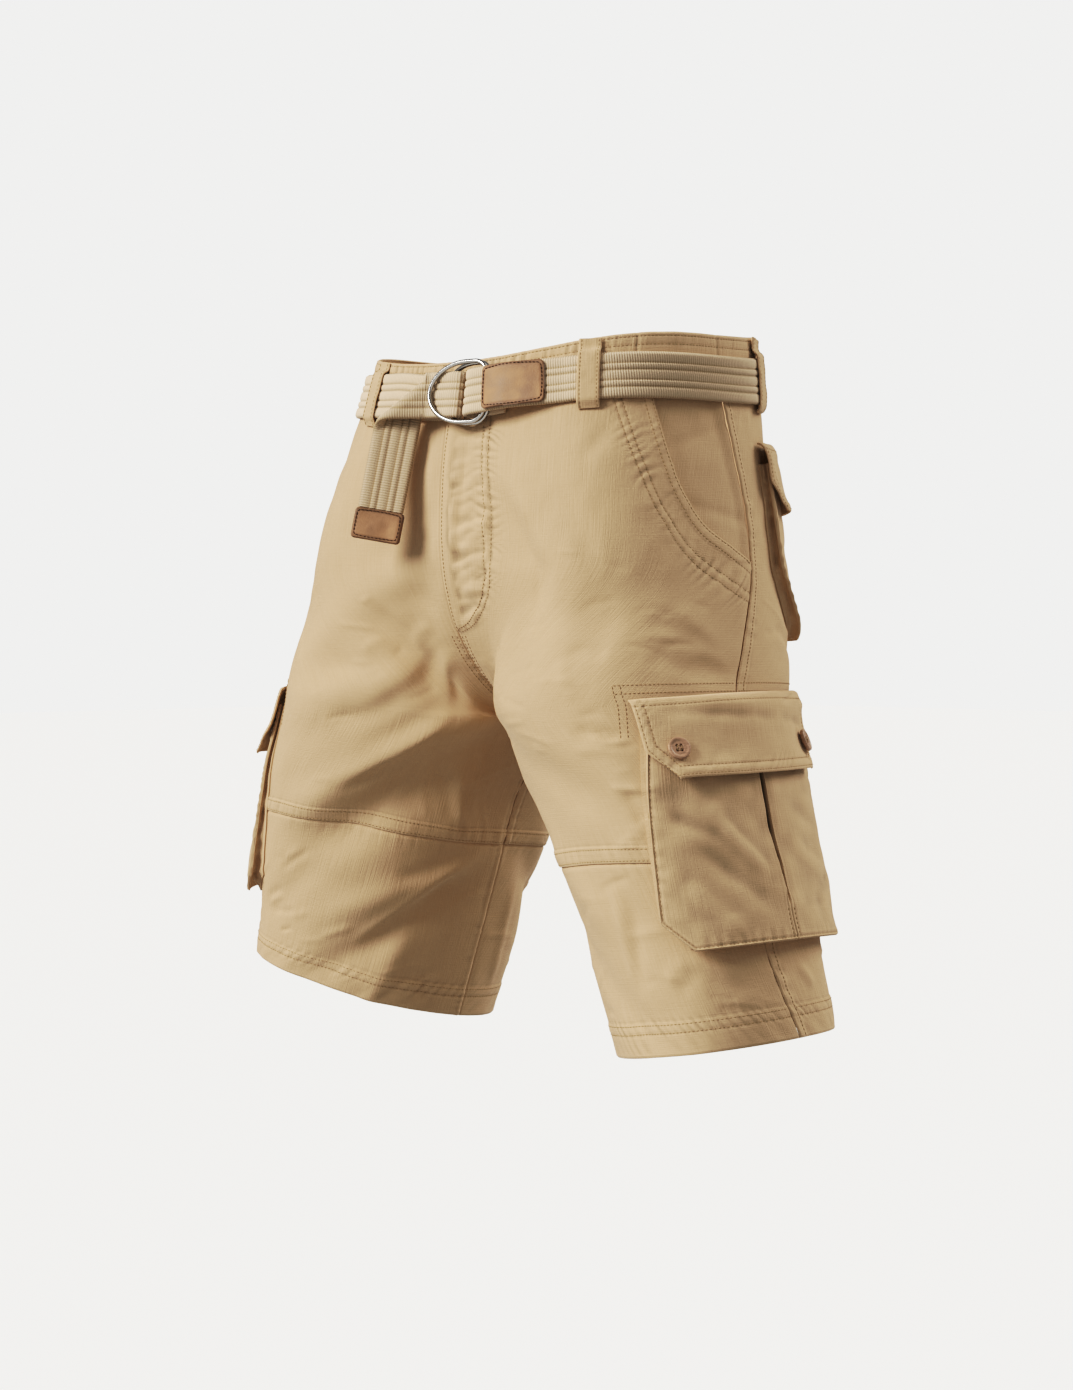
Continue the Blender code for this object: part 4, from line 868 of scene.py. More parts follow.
def make_stitches(name, material):
    """One mesh of all the stitches that were added: small spindles that dip in at their ends."""
    blocks = []
    for spots, ups, lift in STITCHES:
        along = unit(spots[-1] - spots[0])
        aside = np.cross(ups, along)
        block = []
        for centre, (rise, size) in zip(spots, STITCH_RINGS):
            for turn in np.pi / 2 * (np.arange(4) + 0.5):
                spot = centre + ups * (lift + STITCH_RADIUS * (rise + size * math.sin(turn)))
                block.append(spot + aside * STITCH_RADIUS * size * math.cos(turn))
        for centre, way in ((spots[0], -1), (spots[-1], 1)):
            block.append(centre - ups * STITCH_RADIUS * STITCH_END + way * along * STITCH_RADIUS)
        blocks.append(np.stack(block, axis=1))
    STITCHES.clear()
    pattern = tube_faces(0, 4, 3)
    for k in range(4):
        after = (k + 1) % 4
        pattern += [(12, after, k), (13, 8 + k, 8 + after)]
    verts = stacked(*blocks)
    faces = [[first + v for v in face] for first in range(0, len(verts), STITCH_POINTS) for face in pattern]
    dress(new_object(name, verts, faces, material), "cloth")


def sew_panel(kind, side, around, drop):
    """A row of stitches on a panel, through places in round and drop."""
    around, drop = paired(around, drop)
    sew(lie(kind, side, around, drop), outward(side, around, drop))


# ---------------------------------------------------------------- materials
def principled(name, colour, roughness, metallic=0.0, specular=0.4):
    made = bpy.data.materials.new(name)
    made.use_nodes = True
    shader = made.node_tree.nodes["Principled BSDF"]
    shader.inputs["Base Color"].default_value = (*colour, 1.0)
    shader.inputs["Roughness"].default_value = roughness
    shader.inputs["Metallic"].default_value = metallic
    shader.inputs["Specular IOR Level"].default_value = specular
    return made, shader


def times(colour, factor):
    """A colour made lighter or darker, by one factor or by one for each channel."""
    return tuple(min(float(channel), 1.0) for channel in np.array(colour) * factor)


class Nodes:
    """A short way to write a material's nodes."""

    def __init__(self, material):
        self.tree = material.node_tree
        self.add = self.tree.nodes.new

    def link(self, a, b):
        self.tree.links.new(a, b)

    def place_uv(self, across, down):
        source = self.add("ShaderNodeUVMap")
        source.uv_map = "cloth"
        mapping = self.add("ShaderNodeMapping")
        mapping.inputs["Scale"].default_value = (across, down, 1.0)
        self.link(source.outputs["UV"], mapping.inputs["Vector"])
        return mapping.outputs["Vector"]

    def place_object(self, *scale):
        source = self.add("ShaderNodeTexCoord")
        mapping = self.add("ShaderNodeMapping")
        mapping.inputs["Scale"].default_value = scale
        self.link(source.outputs["Object"], mapping.inputs["Vector"])
        return mapping.outputs["Vector"]

    def noise(self, vector, detail=3.0, rough=0.55):
        made = self.add("ShaderNodeTexNoise")
        made.inputs["Scale"].default_value = 1.0
        made.inputs["Detail"].default_value = detail
        made.inputs["Roughness"].default_value = rough
        self.link(vector, made.inputs["Vector"])
        return made.outputs["Fac"]

    def threads(self, vector, scale, direction):
        """Even threads one way, a little uneven in width."""
        made = self.add("ShaderNodeTexWave")
        made.bands_direction = direction
        for key, number in (("Scale", scale), ("Distortion", 0.5), ("Detail", 1.0), ("Detail Scale", 300.0)):
            made.inputs[key].default_value = number
        self.link(vector, made.inputs["Vector"])
        return made.outputs["Fac"]

    def attribute(self, name):
        made = self.add("ShaderNodeAttribute")
        made.attribute_name = name
        return made.outputs["Fac"]

    def math(self, operation, a, b):
        made = self.add("ShaderNodeMath")
        made.operation = operation
        for socket, value in zip(made.inputs, (a, b)):
            if isinstance(value, (int, float)):
                socket.default_value = value
            else:
                self.link(value, socket)
        return made.outputs["Value"]

    def spread(self, value, low, high, to_low=0.0, to_high=1.0):
        made = self.add("ShaderNodeMapRange")
        for key, number in (("From Min", low), ("From Max", high), ("To Min", to_low), ("To Max", to_high)):
            made.inputs[key].default_value = number
        self.link(value, made.inputs["Value"])
        return made.outputs["Result"]

    def mix(self, factor, a, b, blend="MIX"):
        made = self.add("ShaderNodeMix")
        made.data_type = "RGBA"
        made.blend_type = blend
        factor_in, a_in, b_in = made.inputs[0], made.inputs[6], made.inputs[7]
        for socket, value in ((factor_in, factor), (a_in, a), (b_in, b)):
            if isinstance(value, (int, float)):
                socket.default_value = value
            elif isinstance(value, tuple):
                socket.default_value = (*value, 1.0)
            else:
                self.link(value, socket)
        return made.outputs[2]

    def bump(self, height, distance, strength=1.0, after=None):
        made = self.add("ShaderNodeBump")
        made.inputs["Strength"].default_value = strength
        made.inputs["Distance"].default_value = distance
        self.link(height, made.inputs["Height"])
        if after is not None:
            self.link(after, made.inputs["Normal"])
        return made.outputs["Normal"]


KHAKI = (0.612, 0.446, 0.290)
THREAD = (0.40, 0.285, 0.165)
WEBBING = (0.790, 0.640, 0.475)
LEATHER_BROWN = (0.400, 0.240, 0.138)
LEATHER_EDGE = (0.130, 0.070, 0.042)
DARK_THREAD = (0.075, 0.042, 0.026)
STEEL = (0.36, 0.35, 0.335)
HORN = (0.420, 0.270, 0.180)


def cloth_material(name):
    """Washed cotton canvas: fine threads both ways, uneven threads along them, fading, edge wear, painted
    shade.
    """
    made, shader = principled(name, KHAKI, 0.86, specular=0.25)
    shader.inputs["Sheen Weight"].default_value = 0.22
    shader.inputs["Sheen Roughness"].default_value = 0.45
    shader.inputs["Sheen Tint"].default_value = (1.0, 0.92, 0.80, 1.0)
    n = Nodes(made)
    patches = n.spread(n.noise(n.place_uv(9, 7)), 0.30, 0.70)
    warp = n.spread(n.noise(n.place_uv(1000, 26)), 0.32, 0.68)
    weft = n.spread(n.noise(n.place_uv(34, 1000)), 0.32, 0.68)
    mottle = n.spread(n.noise(n.place_uv(420, 420), detail=4), 0.25, 0.75)
    dark, light = times(KHAKI, (0.88, 0.86, 0.82)), times(KHAKI, (1.07, 1.08, 1.10))
    base = n.mix(patches, times(KHAKI, 0.97), times(KHAKI, 1.02))
    base = n.mix(n.spread(warp, 0, 1, 0.0, 0.55), base, dark)
    base = n.mix(n.spread(weft, 0, 1, 0.0, 0.20), base, light)
    base = n.mix(n.spread(mottle, 0, 1, 0.0, 0.16), base, dark)
    wear_and_shade = n.attribute("wear_and_shade")
    base = n.mix(n.spread(wear_and_shade, 0.0, 1.0, 0.0, 0.55), base, light)
    # Painted shade: below 0 darker in the dents, on the cargo faces and at the pleat; below -1 nearly black
    # in the pleat's gap.
    base = n.mix(n.spread(wear_and_shade, 0.0, -1.0, 0.0, 0.75), base, times(KHAKI, 0.62))
    base = n.mix(n.spread(wear_and_shade, -1.0, -3.0, 0.0, 0.92), base, times(KHAKI, 0.08))
    n.link(base, shader.inputs["Base Color"])
    upright, level = n.threads(n.place_uv(1, 1), 290.0, "X"), n.threads(n.place_uv(1, 1), 250.0, "Y")
    weave = n.math("MULTIPLY", upright, level)
    grain = n.math("MULTIPLY", weave, 0.35)
    for height, share in ((mottle, 0.6), (warp, 0.9), (weft, 0.4)):
        grain = n.math("ADD", grain, n.math("MULTIPLY", height, share))
    crumple = n.bump(n.noise(n.place_uv(55, 42), rough=0.5), 0.0009, 0.5)
    n.link(n.bump(grain, 0.00022, 0.7, crumple), shader.inputs["Normal"])
    return made


def webbing_material(name):
    """Pale cotton webbing, with painted shade in the grooves between its ribs."""
    made, shader = principled(name, WEBBING, 0.9, specular=0.2)
    shader.inputs["Sheen Weight"].default_value = 0.25
    shader.inputs["Sheen Tint"].default_value = (1.0, 0.95, 0.86, 1.0)
    n = Nodes(made)
    fine = n.noise(n.place_uv(900, 900))
    base = n.mix(n.spread(fine, 0.3, 0.7, 0.0, 0.30), WEBBING, times(WEBBING, 0.80))
    # Painted shade, from the mesh's numbers: in the grooves, between the cross ribs and on the hanging tail.
    base = n.mix(n.attribute("wear_and_shade"), base, times(WEBBING, (0.50, 0.45, 0.37)))
    n.link(base, shader.inputs["Base Color"])
    n.link(n.bump(fine, 0.0003, 0.6), shader.inputs["Normal"])
    return made


def leather_material(name):
    """Waxed leather with pores and blotches, dark along its edges, and painted shade along its stitch
    groove.
    """
    made, shader = principled(name, LEATHER_BROWN, 0.55)
    n = Nodes(made)
    mottle = n.spread(n.noise(n.place_object(60, 60, 60), detail=4), 0.35, 0.70)
    pores = n.noise(n.place_object(900, 900, 900))
    base = n.mix(mottle, times(LEATHER_BROWN, 0.80), times(LEATHER_BROWN, 1.25))
    base = n.mix(n.attribute("wear_and_shade"), base, LEATHER_EDGE)
    n.link(base, shader.inputs["Base Color"])
    n.link(n.spread(mottle, 0, 1, 0.48, 0.66), shader.inputs["Roughness"])
    n.link(n.bump(pores, 0.0003, 0.6), shader.inputs["Normal"])
    return made


def steel_material(name):
    made, shader = principled(name, STEEL, 0.2, metallic=1.0)
    n = Nodes(made)
    wear = n.noise(n.place_object(260, 260, 260))
    n.link(n.spread(wear, 0.35, 0.70, 0.20, 0.30), shader.inputs["Roughness"])
    return made


def horn_material(name):
    made, shader = principled(name, HORN, 0.42, specular=0.45)
    n = Nodes(made)
    streak = n.noise(n.place_object(260, 260, 700), detail=4)
    base = n.mix(n.spread(streak, 0.3, 0.7), times(HORN, 0.72), times(HORN, 1.2))
    n.link(base, shader.inputs["Base Color"])
    n.link(n.bump(streak, 0.0002, 0.4), shader.inputs["Normal"])
    return made


def thread_material(name, colour):
    made, shader = principled(name, colour, 0.8, specular=0.2)
    n = Nodes(made)
    fine = n.noise(n.place_object(1500, 1500, 1500), detail=2)
    n.link(n.mix(fine, times(colour, 0.85), times(colour, 1.15)), shader.inputs["Base Color"])
    return made


MATERIALS = {
    "cloth": cloth_material("cotton_twill"),
    "webbing": webbing_material("cotton_webbing"),
    "leather": leather_material("waxed_leather"),
    "steel": steel_material("ring_steel"),
    "button": horn_material("horn_button"),
    "thread": thread_material("khaki_thread", THREAD),
    "dark_thread": thread_material("brown_thread", DARK_THREAD),
}


# ---------------------------------------------------------------- the cut panels
PANEL_THICK = 0.0012
FACING_THICK = 0.00096
KNEE_TAIL = 0.018
WAIST_STEPS = 301


def panel_grid(start, end, drops, near, far, middle):
    """Places in round for each drop: fine steps within near and far of the edges, in metres."""
    scale = girth(drops)
    width = ((end - start) * scale)[:, None]
    near_run, near_steps = near
    far_run, far_steps = far
    first = np.linspace(0, near_run, near_steps, endpoint=False) + 0 * width
    centre = near_run + (width - far_run - near_run) * np.linspace(0, 1, middle, endpoint=False)
    last = width - far_run + np.linspace(0, far_run, far_steps + 1)
    return start[:, None] + np.concatenate((first, centre, last), axis=1) / scale[:, None]


def upper_places(side, start_line, end_line, near, far, middle):
    """The grid of an upper panel, from the waistband to the curved knee seam."""
    nominal = KNEE[side]
    drops = np.concatenate((BAND_DEPTH + knots((0.0, 1.0, 210)) * (nominal - KNEE_TAIL - BAND_DEPTH),
                            nominal - np.linspace(KNEE_TAIL, 0, 22)[1:]))
    around = panel_grid(start_line(drops), end_line(drops), drops, near, far, middle)
    late = ease((drops - CROTCH) / (nominal - CROTCH - KNEE_TAIL))[:, None]
    return around, drops[:, None] + late * (knee(side, around) - nominal)


def lower_places(side, start_line, end_line, near, far, middle):
    """The grid of a lower panel, from the knee seam to the hem."""
    shares = knots((0, 0.1, 12), (0.1, 0.72, 39), (0.72, 1.0, 33))
    drops = KNEE[side] + shares * (HEM - KNEE[side])
    around = panel_grid(start_line(drops), end_line(drops), drops, near, far, middle)
    top = knee(side, around)
    return around, top + shares[:, None] * (HEM - top)


def keep_to_side(points, side, gap=0.00015):
    """Keeps a panel's points from crossing the garment's middle plane."""
    points = points.copy()
    points[..., 0] = side * np.maximum(side * points[..., 0], gap)
    return points


# The height of relief that gives full wear on a raised seam, or full painted shade in a dent.
WEAR_AND_SHADE_HEIGHT = 0.0004


def seam_wear_and_shade(relief):
    """Lighter, worn cloth on raised seams, and painted shade in the dents of the sewing."""
    around_it = sum(np.roll(relief, step, axis) for axis in (0, 1) for step in (2, -2)) / 4
    fine = relief - around_it
    fine[:2], fine[-2:] = 0, 0
    fine[:, :2], fine[:, -2:] = 0, 0
    return np.clip(fine / WEAR_AND_SHADE_HEIGHT, -1, 1)


def make_panel(kind, side, around, drop):
    name = f"{kind}_{SIDE_NAMES[side]}"
    relief = RELIEFS[kind](side, around, drop)
    points = place(side, around, drop, relief)
    if kind != "waistband":
        points = keep_to_side(points, side)
    uv = cloth_uv("back" if "back" in kind else "front", around * girth(drop), drop)
    obj = shell(f"cloth_{name}", points, outward(side, around, drop), PANEL_THICK, uv, seam_wear_and_shade(relief))
    on = () if kind == "waistband" else (f"waistband_{SIDE_NAMES[side]}",)
    as_cloth(obj, form(side, around, drop), name, on=on)


def front_middle(drops):
    return np.zeros(len(drops))


def back_middle(drops):
    return np.ones(len(drops))


def front_end(drops):
    """Where an upper front ends: at the hip pocket's mouth, and below it at the side seam."""
    mouth = pocket_mouth(np.minimum(drops, POCKET_MOUTH_END))
    return np.where(drops < POCKET_MOUTH_END, mouth, side_seam(drops))


# Each panel: its grid, where it starts and ends, the width and number of its fine steps at each edge,
# and its steps in between.
PANELS = (
    ("front", upper_places, front_middle, front_end, (0.045, 42), (0.036, 33), 90),
    ("back", upper_places, side_seam, back_middle, (0.015, 15), (0.015, 15), 99),
    ("lower_front", lower_places, front_middle, side_seam, (0.012, 12), (0.006, 6), 120),
    ("lower_back", lower_places, side_seam, back_middle, (0.015, 15), (0.006, 6), 102),
)


def make_panels(side):
    """The cut panels, the waistband and the pocket's facing of one side."""
    for kind, places_of, *lines_and_steps in PANELS:
        make_panel(kind, side, *places_of(side, *lines_and_steps))
    drops = knots((0, 0.004, 6), (0.004, 0.016, 12), (0.016, BAND_DEPTH, 9))
    make_panel("waistband", side, *np.broadcast_arrays(np.linspace(0, 1, WAIST_STEPS), drops[:, None]))
    make_facing(side)


# Dents across the facing: how far each slants, its drop in front, its width and its rise.
FACING_DENTS = ((0.15, 0.145, 0.004, -0.0007), (-0.1, 0.085, 0.005, -0.0008))


def make_facing(side):
    """The cloth behind the hip pocket's mouth, with two dents across it."""
    name = f"hip_pocket_facing_{SIDE_NAMES[side]}"
    drops = knots((BAND_DEPTH, FACING_END, 60))[:, None]
    mouth = pocket_mouth(np.minimum(drops, POCKET_MOUTH_END)) - FACING_TUCK
    around = mouth + (side_seam(drops) - mouth) * np.linspace(0, 1, 49)
    drop = drops + 0 * around
    from_seam = (side_seam(drop) - around) * girth(drop)
    dents = sum(bead(drop + slant * around, at, width, rise) for slant, at, width, rise in FACING_DENTS)
    sunk = (CLOTH + FACING_CLEAR) * (1 - 0.75 * ease(1 - from_seam / 0.012))
    out = rolled_edge("seam", from_seam) + dents - sunk
    uv = cloth_uv("facing", around * girth(drop), drop)
    points = place(side, around, drop, out)
    obj = shell(f"cloth_{name}", points, outward(side, around, drop), FACING_THICK, uv)
    as_cloth(obj, form(side, around, drop), name, on=(f"waistband_{SIDE_NAMES[side]}",))


def sew_panels(side):
    """The rows of stitches on the panels of one side."""
    for at in WAIST_ROWS:
        sew_panel("waistband", side, np.linspace(0.0, 1.0, 400), at)
    for distances in mouth_rows(np.linspace(0, 1, len(mouth_curve()))):
        sew_panel("front", side, *mouth_row(distances))
    sew_side_seam("back", side, np.linspace(BAND_DEPTH, knee(side, 0.5), 260))
    for at in SEAT_ROWS:
        drops = np.linspace(BAND_DEPTH, CROTCH - 0.004, 160)
        sew_panel("back", side, 1 - at / girth(drops), drops)
    sew_side_seam("lower_back", side, np.linspace(knee(side, 0.5), HEM - 0.001, 90))
    for at in KNEE_ROWS:
        for kind, a, b in (("front", 0.0, side_seam(KNEE[side])), ("back", side_seam(KNEE[side]), 1.0)):
            around = np.linspace(a, b, 200)
            sew_panel(kind, side, around, knee(side, around) - at)
    for at in HEM_ROWS:
        for kind, a, b in (("lower_front", 0.0, side_seam(HEM)), ("lower_back", side_seam(HEM), 1.0)):
            sew_panel(kind, side, np.linspace(a, b, 200), HEM - at)
    if side == LEFT:
        sew_fly()
    for at in RISE_ROWS:
        drops = np.linspace(FLY_END, CROTCH - 0.006, 40)
        sew_panel("front", side, at / girth(drops), drops)


def sew_side_seam(kind, side, drops):
    sew_panel(kind, side, side_seam(drops) + SEAM_ROW / girth(drops), drops)


def sew_fly():
    """The fly's two J-shaped rows, and the one along its edge."""
    bend, end = 0.19, FLY_J_END - 0.0002
    drops = np.concatenate((np.linspace(BAND_DEPTH, bend, 120), np.linspace(bend, end, 60)[1:]))
    inner = np.maximum(fly_j(drops + 0.002) - FLY_J_ROWS[1] / girth(drops), 0.004)
    for around in (fly_j(drops), inner, FLY_EDGE_ROW / girth(drops)):
        sew_panel("front", LEFT, around, drops)


for one_side in (LEFT, RIGHT):
    make_panels(one_side)
    sew_panels(one_side)
make_stitches("sewing_panels", MATERIALS["thread"])


# ---------------------------------------------------------------- bellows pockets
def pocket_node(piece, side, pocket):
    return f"{pocket['name']}_pocket_{piece}_{SIDE_NAMES[side]}"


def pocket_seed(side, pocket):
    """What a pocket adds to the seeds of its pieces."""
    return (0 if side == LEFT else 10) + (0 if pocket["name"] == "cargo" else 5)


def pocket_place(pocket, across, drop):
    """Round and drop of a point of a pocket, which may hang a little out of level."""
    ends = pocket["flap_bottom"], pocket["bottom"]
    lower = drop + across * np.interp(drop, ends, (pocket["tilt_top"], pocket["tilt_foot"]))
    return pocket["middle"] + across / girth(lower), lower


def pocket_point(side, pocket, across, drop, out):
    return place(side, *pocket_place(pocket, across, drop), out)


def pocket_outward(side, pocket, across, drop):
    return outward(side, *pocket_place(pocket, across, drop))


def pocket_half(pocket, drop):
    """Half the width of a pocket where it is sewn to the cloth."""
    return pocket["half"] + pocket["spread"] * (portion(drop, pocket["top"], pocket["bottom"]) - 0.5)


def stand(pocket, drop):
    """How far a pocket's face is from the cloth."""
    share = portion(drop, pocket["top"], pocket["bottom"])
    return pocket["stand_top"] + (pocket["stand_bottom"] - pocket["stand_top"]) * share**STAND_GROWTH


def flap_out(pocket, drop):
    """How far a flap is from the cloth: it rises over the pocket's top edge and lifts at its foot."""
    rise = np.sqrt(1 - (1 - portion(drop, pocket["flap_top"], pocket["top"]))**2)
    seat, clear = FLAP_LIE + CLOTH, stand(pocket, drop) + CLOTH + FLAP_LIE
    lift = pocket["flap_lift"] * portion(drop, pocket["top"], pocket["flap_bottom"])**2
    return seat + (clear - seat) * rise + lift


def cut_edge(half, foot, corner, across, drop):
    """The distance of a place on a piece with cut corners from its sides, corners and foot."""
    from_side, from_foot = half - np.abs(across), foot - drop
    return np.minimum(np.minimum(from_side, from_foot), (from_side + from_foot - corner) / math.sqrt(2))


def cut_path(half_of, top, foot, corner, row):
    """A row beside that edge, down one side, across and up the other, as across and drop."""
    down = np.linspace(top, foot - corner - row * (math.sqrt(2) - 1), 80)
    side_run = half_of(down) - row
    slant = np.linspace(0, foot - row - down[-1], 20)[1:]
    corner_run = side_run[-1] - slant
    flat = np.linspace(corner_run[-1], -corner_run[-1], 100)[1:-1]
    across = np.concatenate((side_run, corner_run, flat, -corner_run[::-1], -side_run[::-1]))
    drop = np.concatenate((down, down[-1] + slant, np.full(len(flat), foot - row),
                           (down[-1] + slant)[::-1], down[::-1]))
    return across, drop


FACE_ROW = 0.0020
FACE_THICK = 0.0011
FACE_SEED, FLAP_SEED, GUSSET_SEED = 121, 141, 161
FLAP_ROWS = (0.0022, 0.0082)
FLAP_TOP_ROW = 0.0060
FLAP_THICK = 0.0014
# A flap's fold below its seam, and the cloth that is drawn in at and round its buttons.
FLAP_FOLD = 0.0014
FLAP_FOLD_AT = 0.017
FLAP_FOLD_WIDTH = 0.005
PINCH_DEPTH = 0.0006
PINCH_RING = 0.0007
PINCH_REACH = 0.010
# Painted shade that darkens the whole face of a cargo pocket.
CARGO_PAINTED_SHADE = -0.22
# The pleat gapes from the pocket's top down to near its end, and is sewn shut below.
PLEAT_END = 0.417
PLEAT_SHUT = 0.012
PLEAT_GAPE = 0.0023
PLEAT_SOFT = 0.0006
PLEAT_DEPTH = 0.0065
# Painted shade that makes the pleat's gap nearly black.
PLEAT_SHADE = 4.0
PLEAT_ROW = 0.0026
# Creases of the faces: where each starts and ends, across and down, its width and its rise.
FACE_CREASES = {
    "cargo": (
        (-0.078, 0.345, -0.030, 0.372, 0.0070, -0.0015),
        (-0.060, 0.365, 0.000, 0.425, 0.0080, -0.0020),
        (-0.040, 0.352, -0.004, 0.400, 0.0060, 0.0022),
        (-0.070, 0.392, -0.035, 0.436, 0.0080, 0.0016),
        (0.020, 0.345, 0.070, 0.372, 0.0080, -0.0010),
        (0.030, 0.425, 0.075, 0.398, 0.0080, -0.0011),
        (0.018, 0.378, 0.066, 0.402, 0.0070, 0.0011),
    ),
    "back": (
        (-0.055, 0.150, 0.005, 0.192, 0.0070, -0.0018),
        (-0.005, 0.160, 0.055, 0.198, 0.0070, 0.0016),
        (-0.040, 0.205, 0.030, 0.196, 0.0060, -0.0014),
    ),
}


def face_foot(pocket):
    return pocket["bottom"] + pocket["sag"]


def face_side(pocket, drop):
    """Half the width of a pocket's face before its corners are cut."""
    return pocket_half(pocket, np.minimum(drop, face_foot(pocket) - pocket["corner"])) - pocket["lean"]


def face_half(pocket, drop):
    corner = pocket["corner"]
    return face_side(pocket, drop) - np.clip(drop - face_foot(pocket) + corner, 0, corner)


def pleat_closed(drop):
    """Whether the pleat's edges are sewn together: 0 where it gapes, 1 where it is closed."""
    return ease((drop - PLEAT_END + PLEAT_SHUT) / PLEAT_SHUT)


def pleat_open(pocket, across, drop):
    """1 between the gaping edges of the pleat, 0 on the cloth beside it."""
    if pocket["pleat"] is None:
        return 0 * across
    gape = PLEAT_GAPE * np.sqrt(np.sin(np.pi * portion(drop, pocket["top"], PLEAT_END)))
    return (1 - pleat_closed(drop)) * ease(1 - (np.abs(across - pocket["pleat"]) - gape) / PLEAT_SOFT)


def face_out(pocket, side, across, drop):
    """How far a pocket's face stands out of the cloth, with its dents, rows and pleat."""
    half = face_side(pocket, drop)
    from_side, from_foot = half - np.abs(across), face_foot(pocket) - drop
    edge = cut_edge(half, face_foot(pocket), pocket["corner"], across, drop)
    seed = pocket_seed(side, pocket)
    out = stand(pocket, drop) + sewn(edge, FACE_ROW) + rolled_edge("face", edge)
    out = out + bead(edge, 0.0009, 0.0007, 0.0006) + bead(edge, 0.0024, 0.0009, -0.0004)
    out = out + 0.0016 * ripple(FACE_SEED + seed, across, drop, 0.034) * ease(edge / 0.03)
    out = out + 0.0007 * ripple(FACE_SEED + 1 + seed, across, drop, 0.013) * ease(edge / 0.01)
    for a0, d0, a1, d1, width, rise in FACE_CREASES[pocket["name"]]:
        run = np.array((a1 - a0, d1 - d0))
        length = np.hypot(*run)
        share = ((across - a0) * run[0] + (drop - d0) * run[1]) / length**2
        aside = ((across - a0) * run[1] - (drop - d0) * run[0]) / length
        ends = ease(share / CREASE_TAPER) * ease((1 - share) / CREASE_TAPER)
        out = out + rise * np.exp(-(aside / width)**2) * ends
    out = out + gathers("face_side", drop, from_side, seed) + gathers("face_foot", across, from_foot, seed)
    if pocket["pleat"] is not None:
        aside = across - pocket["pleat"]
        closed = pleat_closed(drop)
        out = out - PLEAT_DEPTH * pleat_open(pocket, across, drop)
        out = out + 0.0012 * (1 - closed) * np.exp(-(aside / 0.006)**2) * np.sign(-aside)
        out = out + closed * (bead(aside, 0, 0.0006, -0.0007) + sewn(np.abs(aside), PLEAT_ROW))
    return out


def face_places(pocket):
    """The grid of a face, across and down, with its fine columns at the edges and the pleat."""
    foot, corner = face_foot(pocket), pocket["corner"]
    drops = knots((pocket["top"], foot - corner, 66), (foot - corner, foot, 24))[:, None]
    if pocket["pleat"] is None:
        shares = knots((-1, -0.85, 9), (-0.85, 0.85, 54), (0.85, 1, 9))
        return shares * face_half(pocket, drops), drops + 0 * shares
    middle = pocket["pleat"] / (pocket["half"] - pocket["lean"])
    shares = knots((-1, -0.86, 12), (-0.86, middle - 0.06, 36), (middle - 0.06, middle + 0.06, 30),
                   (middle + 0.06, 0.86, 33), (0.86, 1, 12))
    half = face_half(pocket, drops + 0 * shares)
    upright = pocket["pleat"] * (1 - half / half[:1]) * np.exp(-((shares - middle) / 0.3)**2)
    return shares * half + upright, drops + 0 * shares


def make_face(side, pocket):
    name, foot = pocket_node("face", side, pocket), face_foot(pocket)
    across, drop = face_places(pocket)
    out = face_out(pocket, side, across, drop)
    # Painted shade: the cargo face is darker all over and the pleat's gap nearly black, with the wear and
    # painted shade of its seams.
    painted_shade = CARGO_PAINTED_SHADE if pocket["name"] == "cargo" else 0.0
    wear_and_shade = seam_wear_and_shade(out - stand(pocket, drop)) + painted_shade - PLEAT_SHADE * pleat_open(pocket, across, drop)
    obj = shell(f"cloth_{name}", pocket_point(side, pocket, across, drop, out),
                pocket_outward(side, pocket, across, drop), FACE_THICK, cloth_uv("face", across, drop), wear_and_shade)
    as_cloth(obj, pocket_point(side, pocket, across, drop, stand(pocket, drop)), name,
             on=(pocket_node("gusset", side, pocket),))

    start = pocket["top"] + 0.01
    path = cut_path(lambda drop: face_side(pocket, drop), start, foot, pocket["corner"], FACE_ROW)
    sew_pocket(side, pocket, *path, face_out)
    if pocket["pleat"] is not None:
        for aside in (-PLEAT_ROW, PLEAT_ROW):
            down = np.linspace(PLEAT_END + 0.002, foot - 0.003, 12)
            sew_pocket(side, pocket, np.full(len(down), pocket["pleat"] + aside), down, face_out)


def sew_pocket(side, pocket, across, drop, out_of):
    points = pocket_point(side, pocket, across, drop, out_of(pocket, side, across, drop))
    sew(points, pocket_outward(side, pocket, across, drop))


def flap_side(pocket, drop):
    """Half the width of a flap before its corners are cut."""
    narrowing = pocket["flap_lean"] * np.clip((drop - pocket["flap_top"]) / 0.05, 0, 1)
    return pocket["half"] + FLAP_OVERHANG - narrowing


def flap_half(pocket, drop):
    return flap_side(pocket, drop) - np.clip(drop - pocket["flap_bottom"] + FLAP_CORNER, 0, FLAP_CORNER)


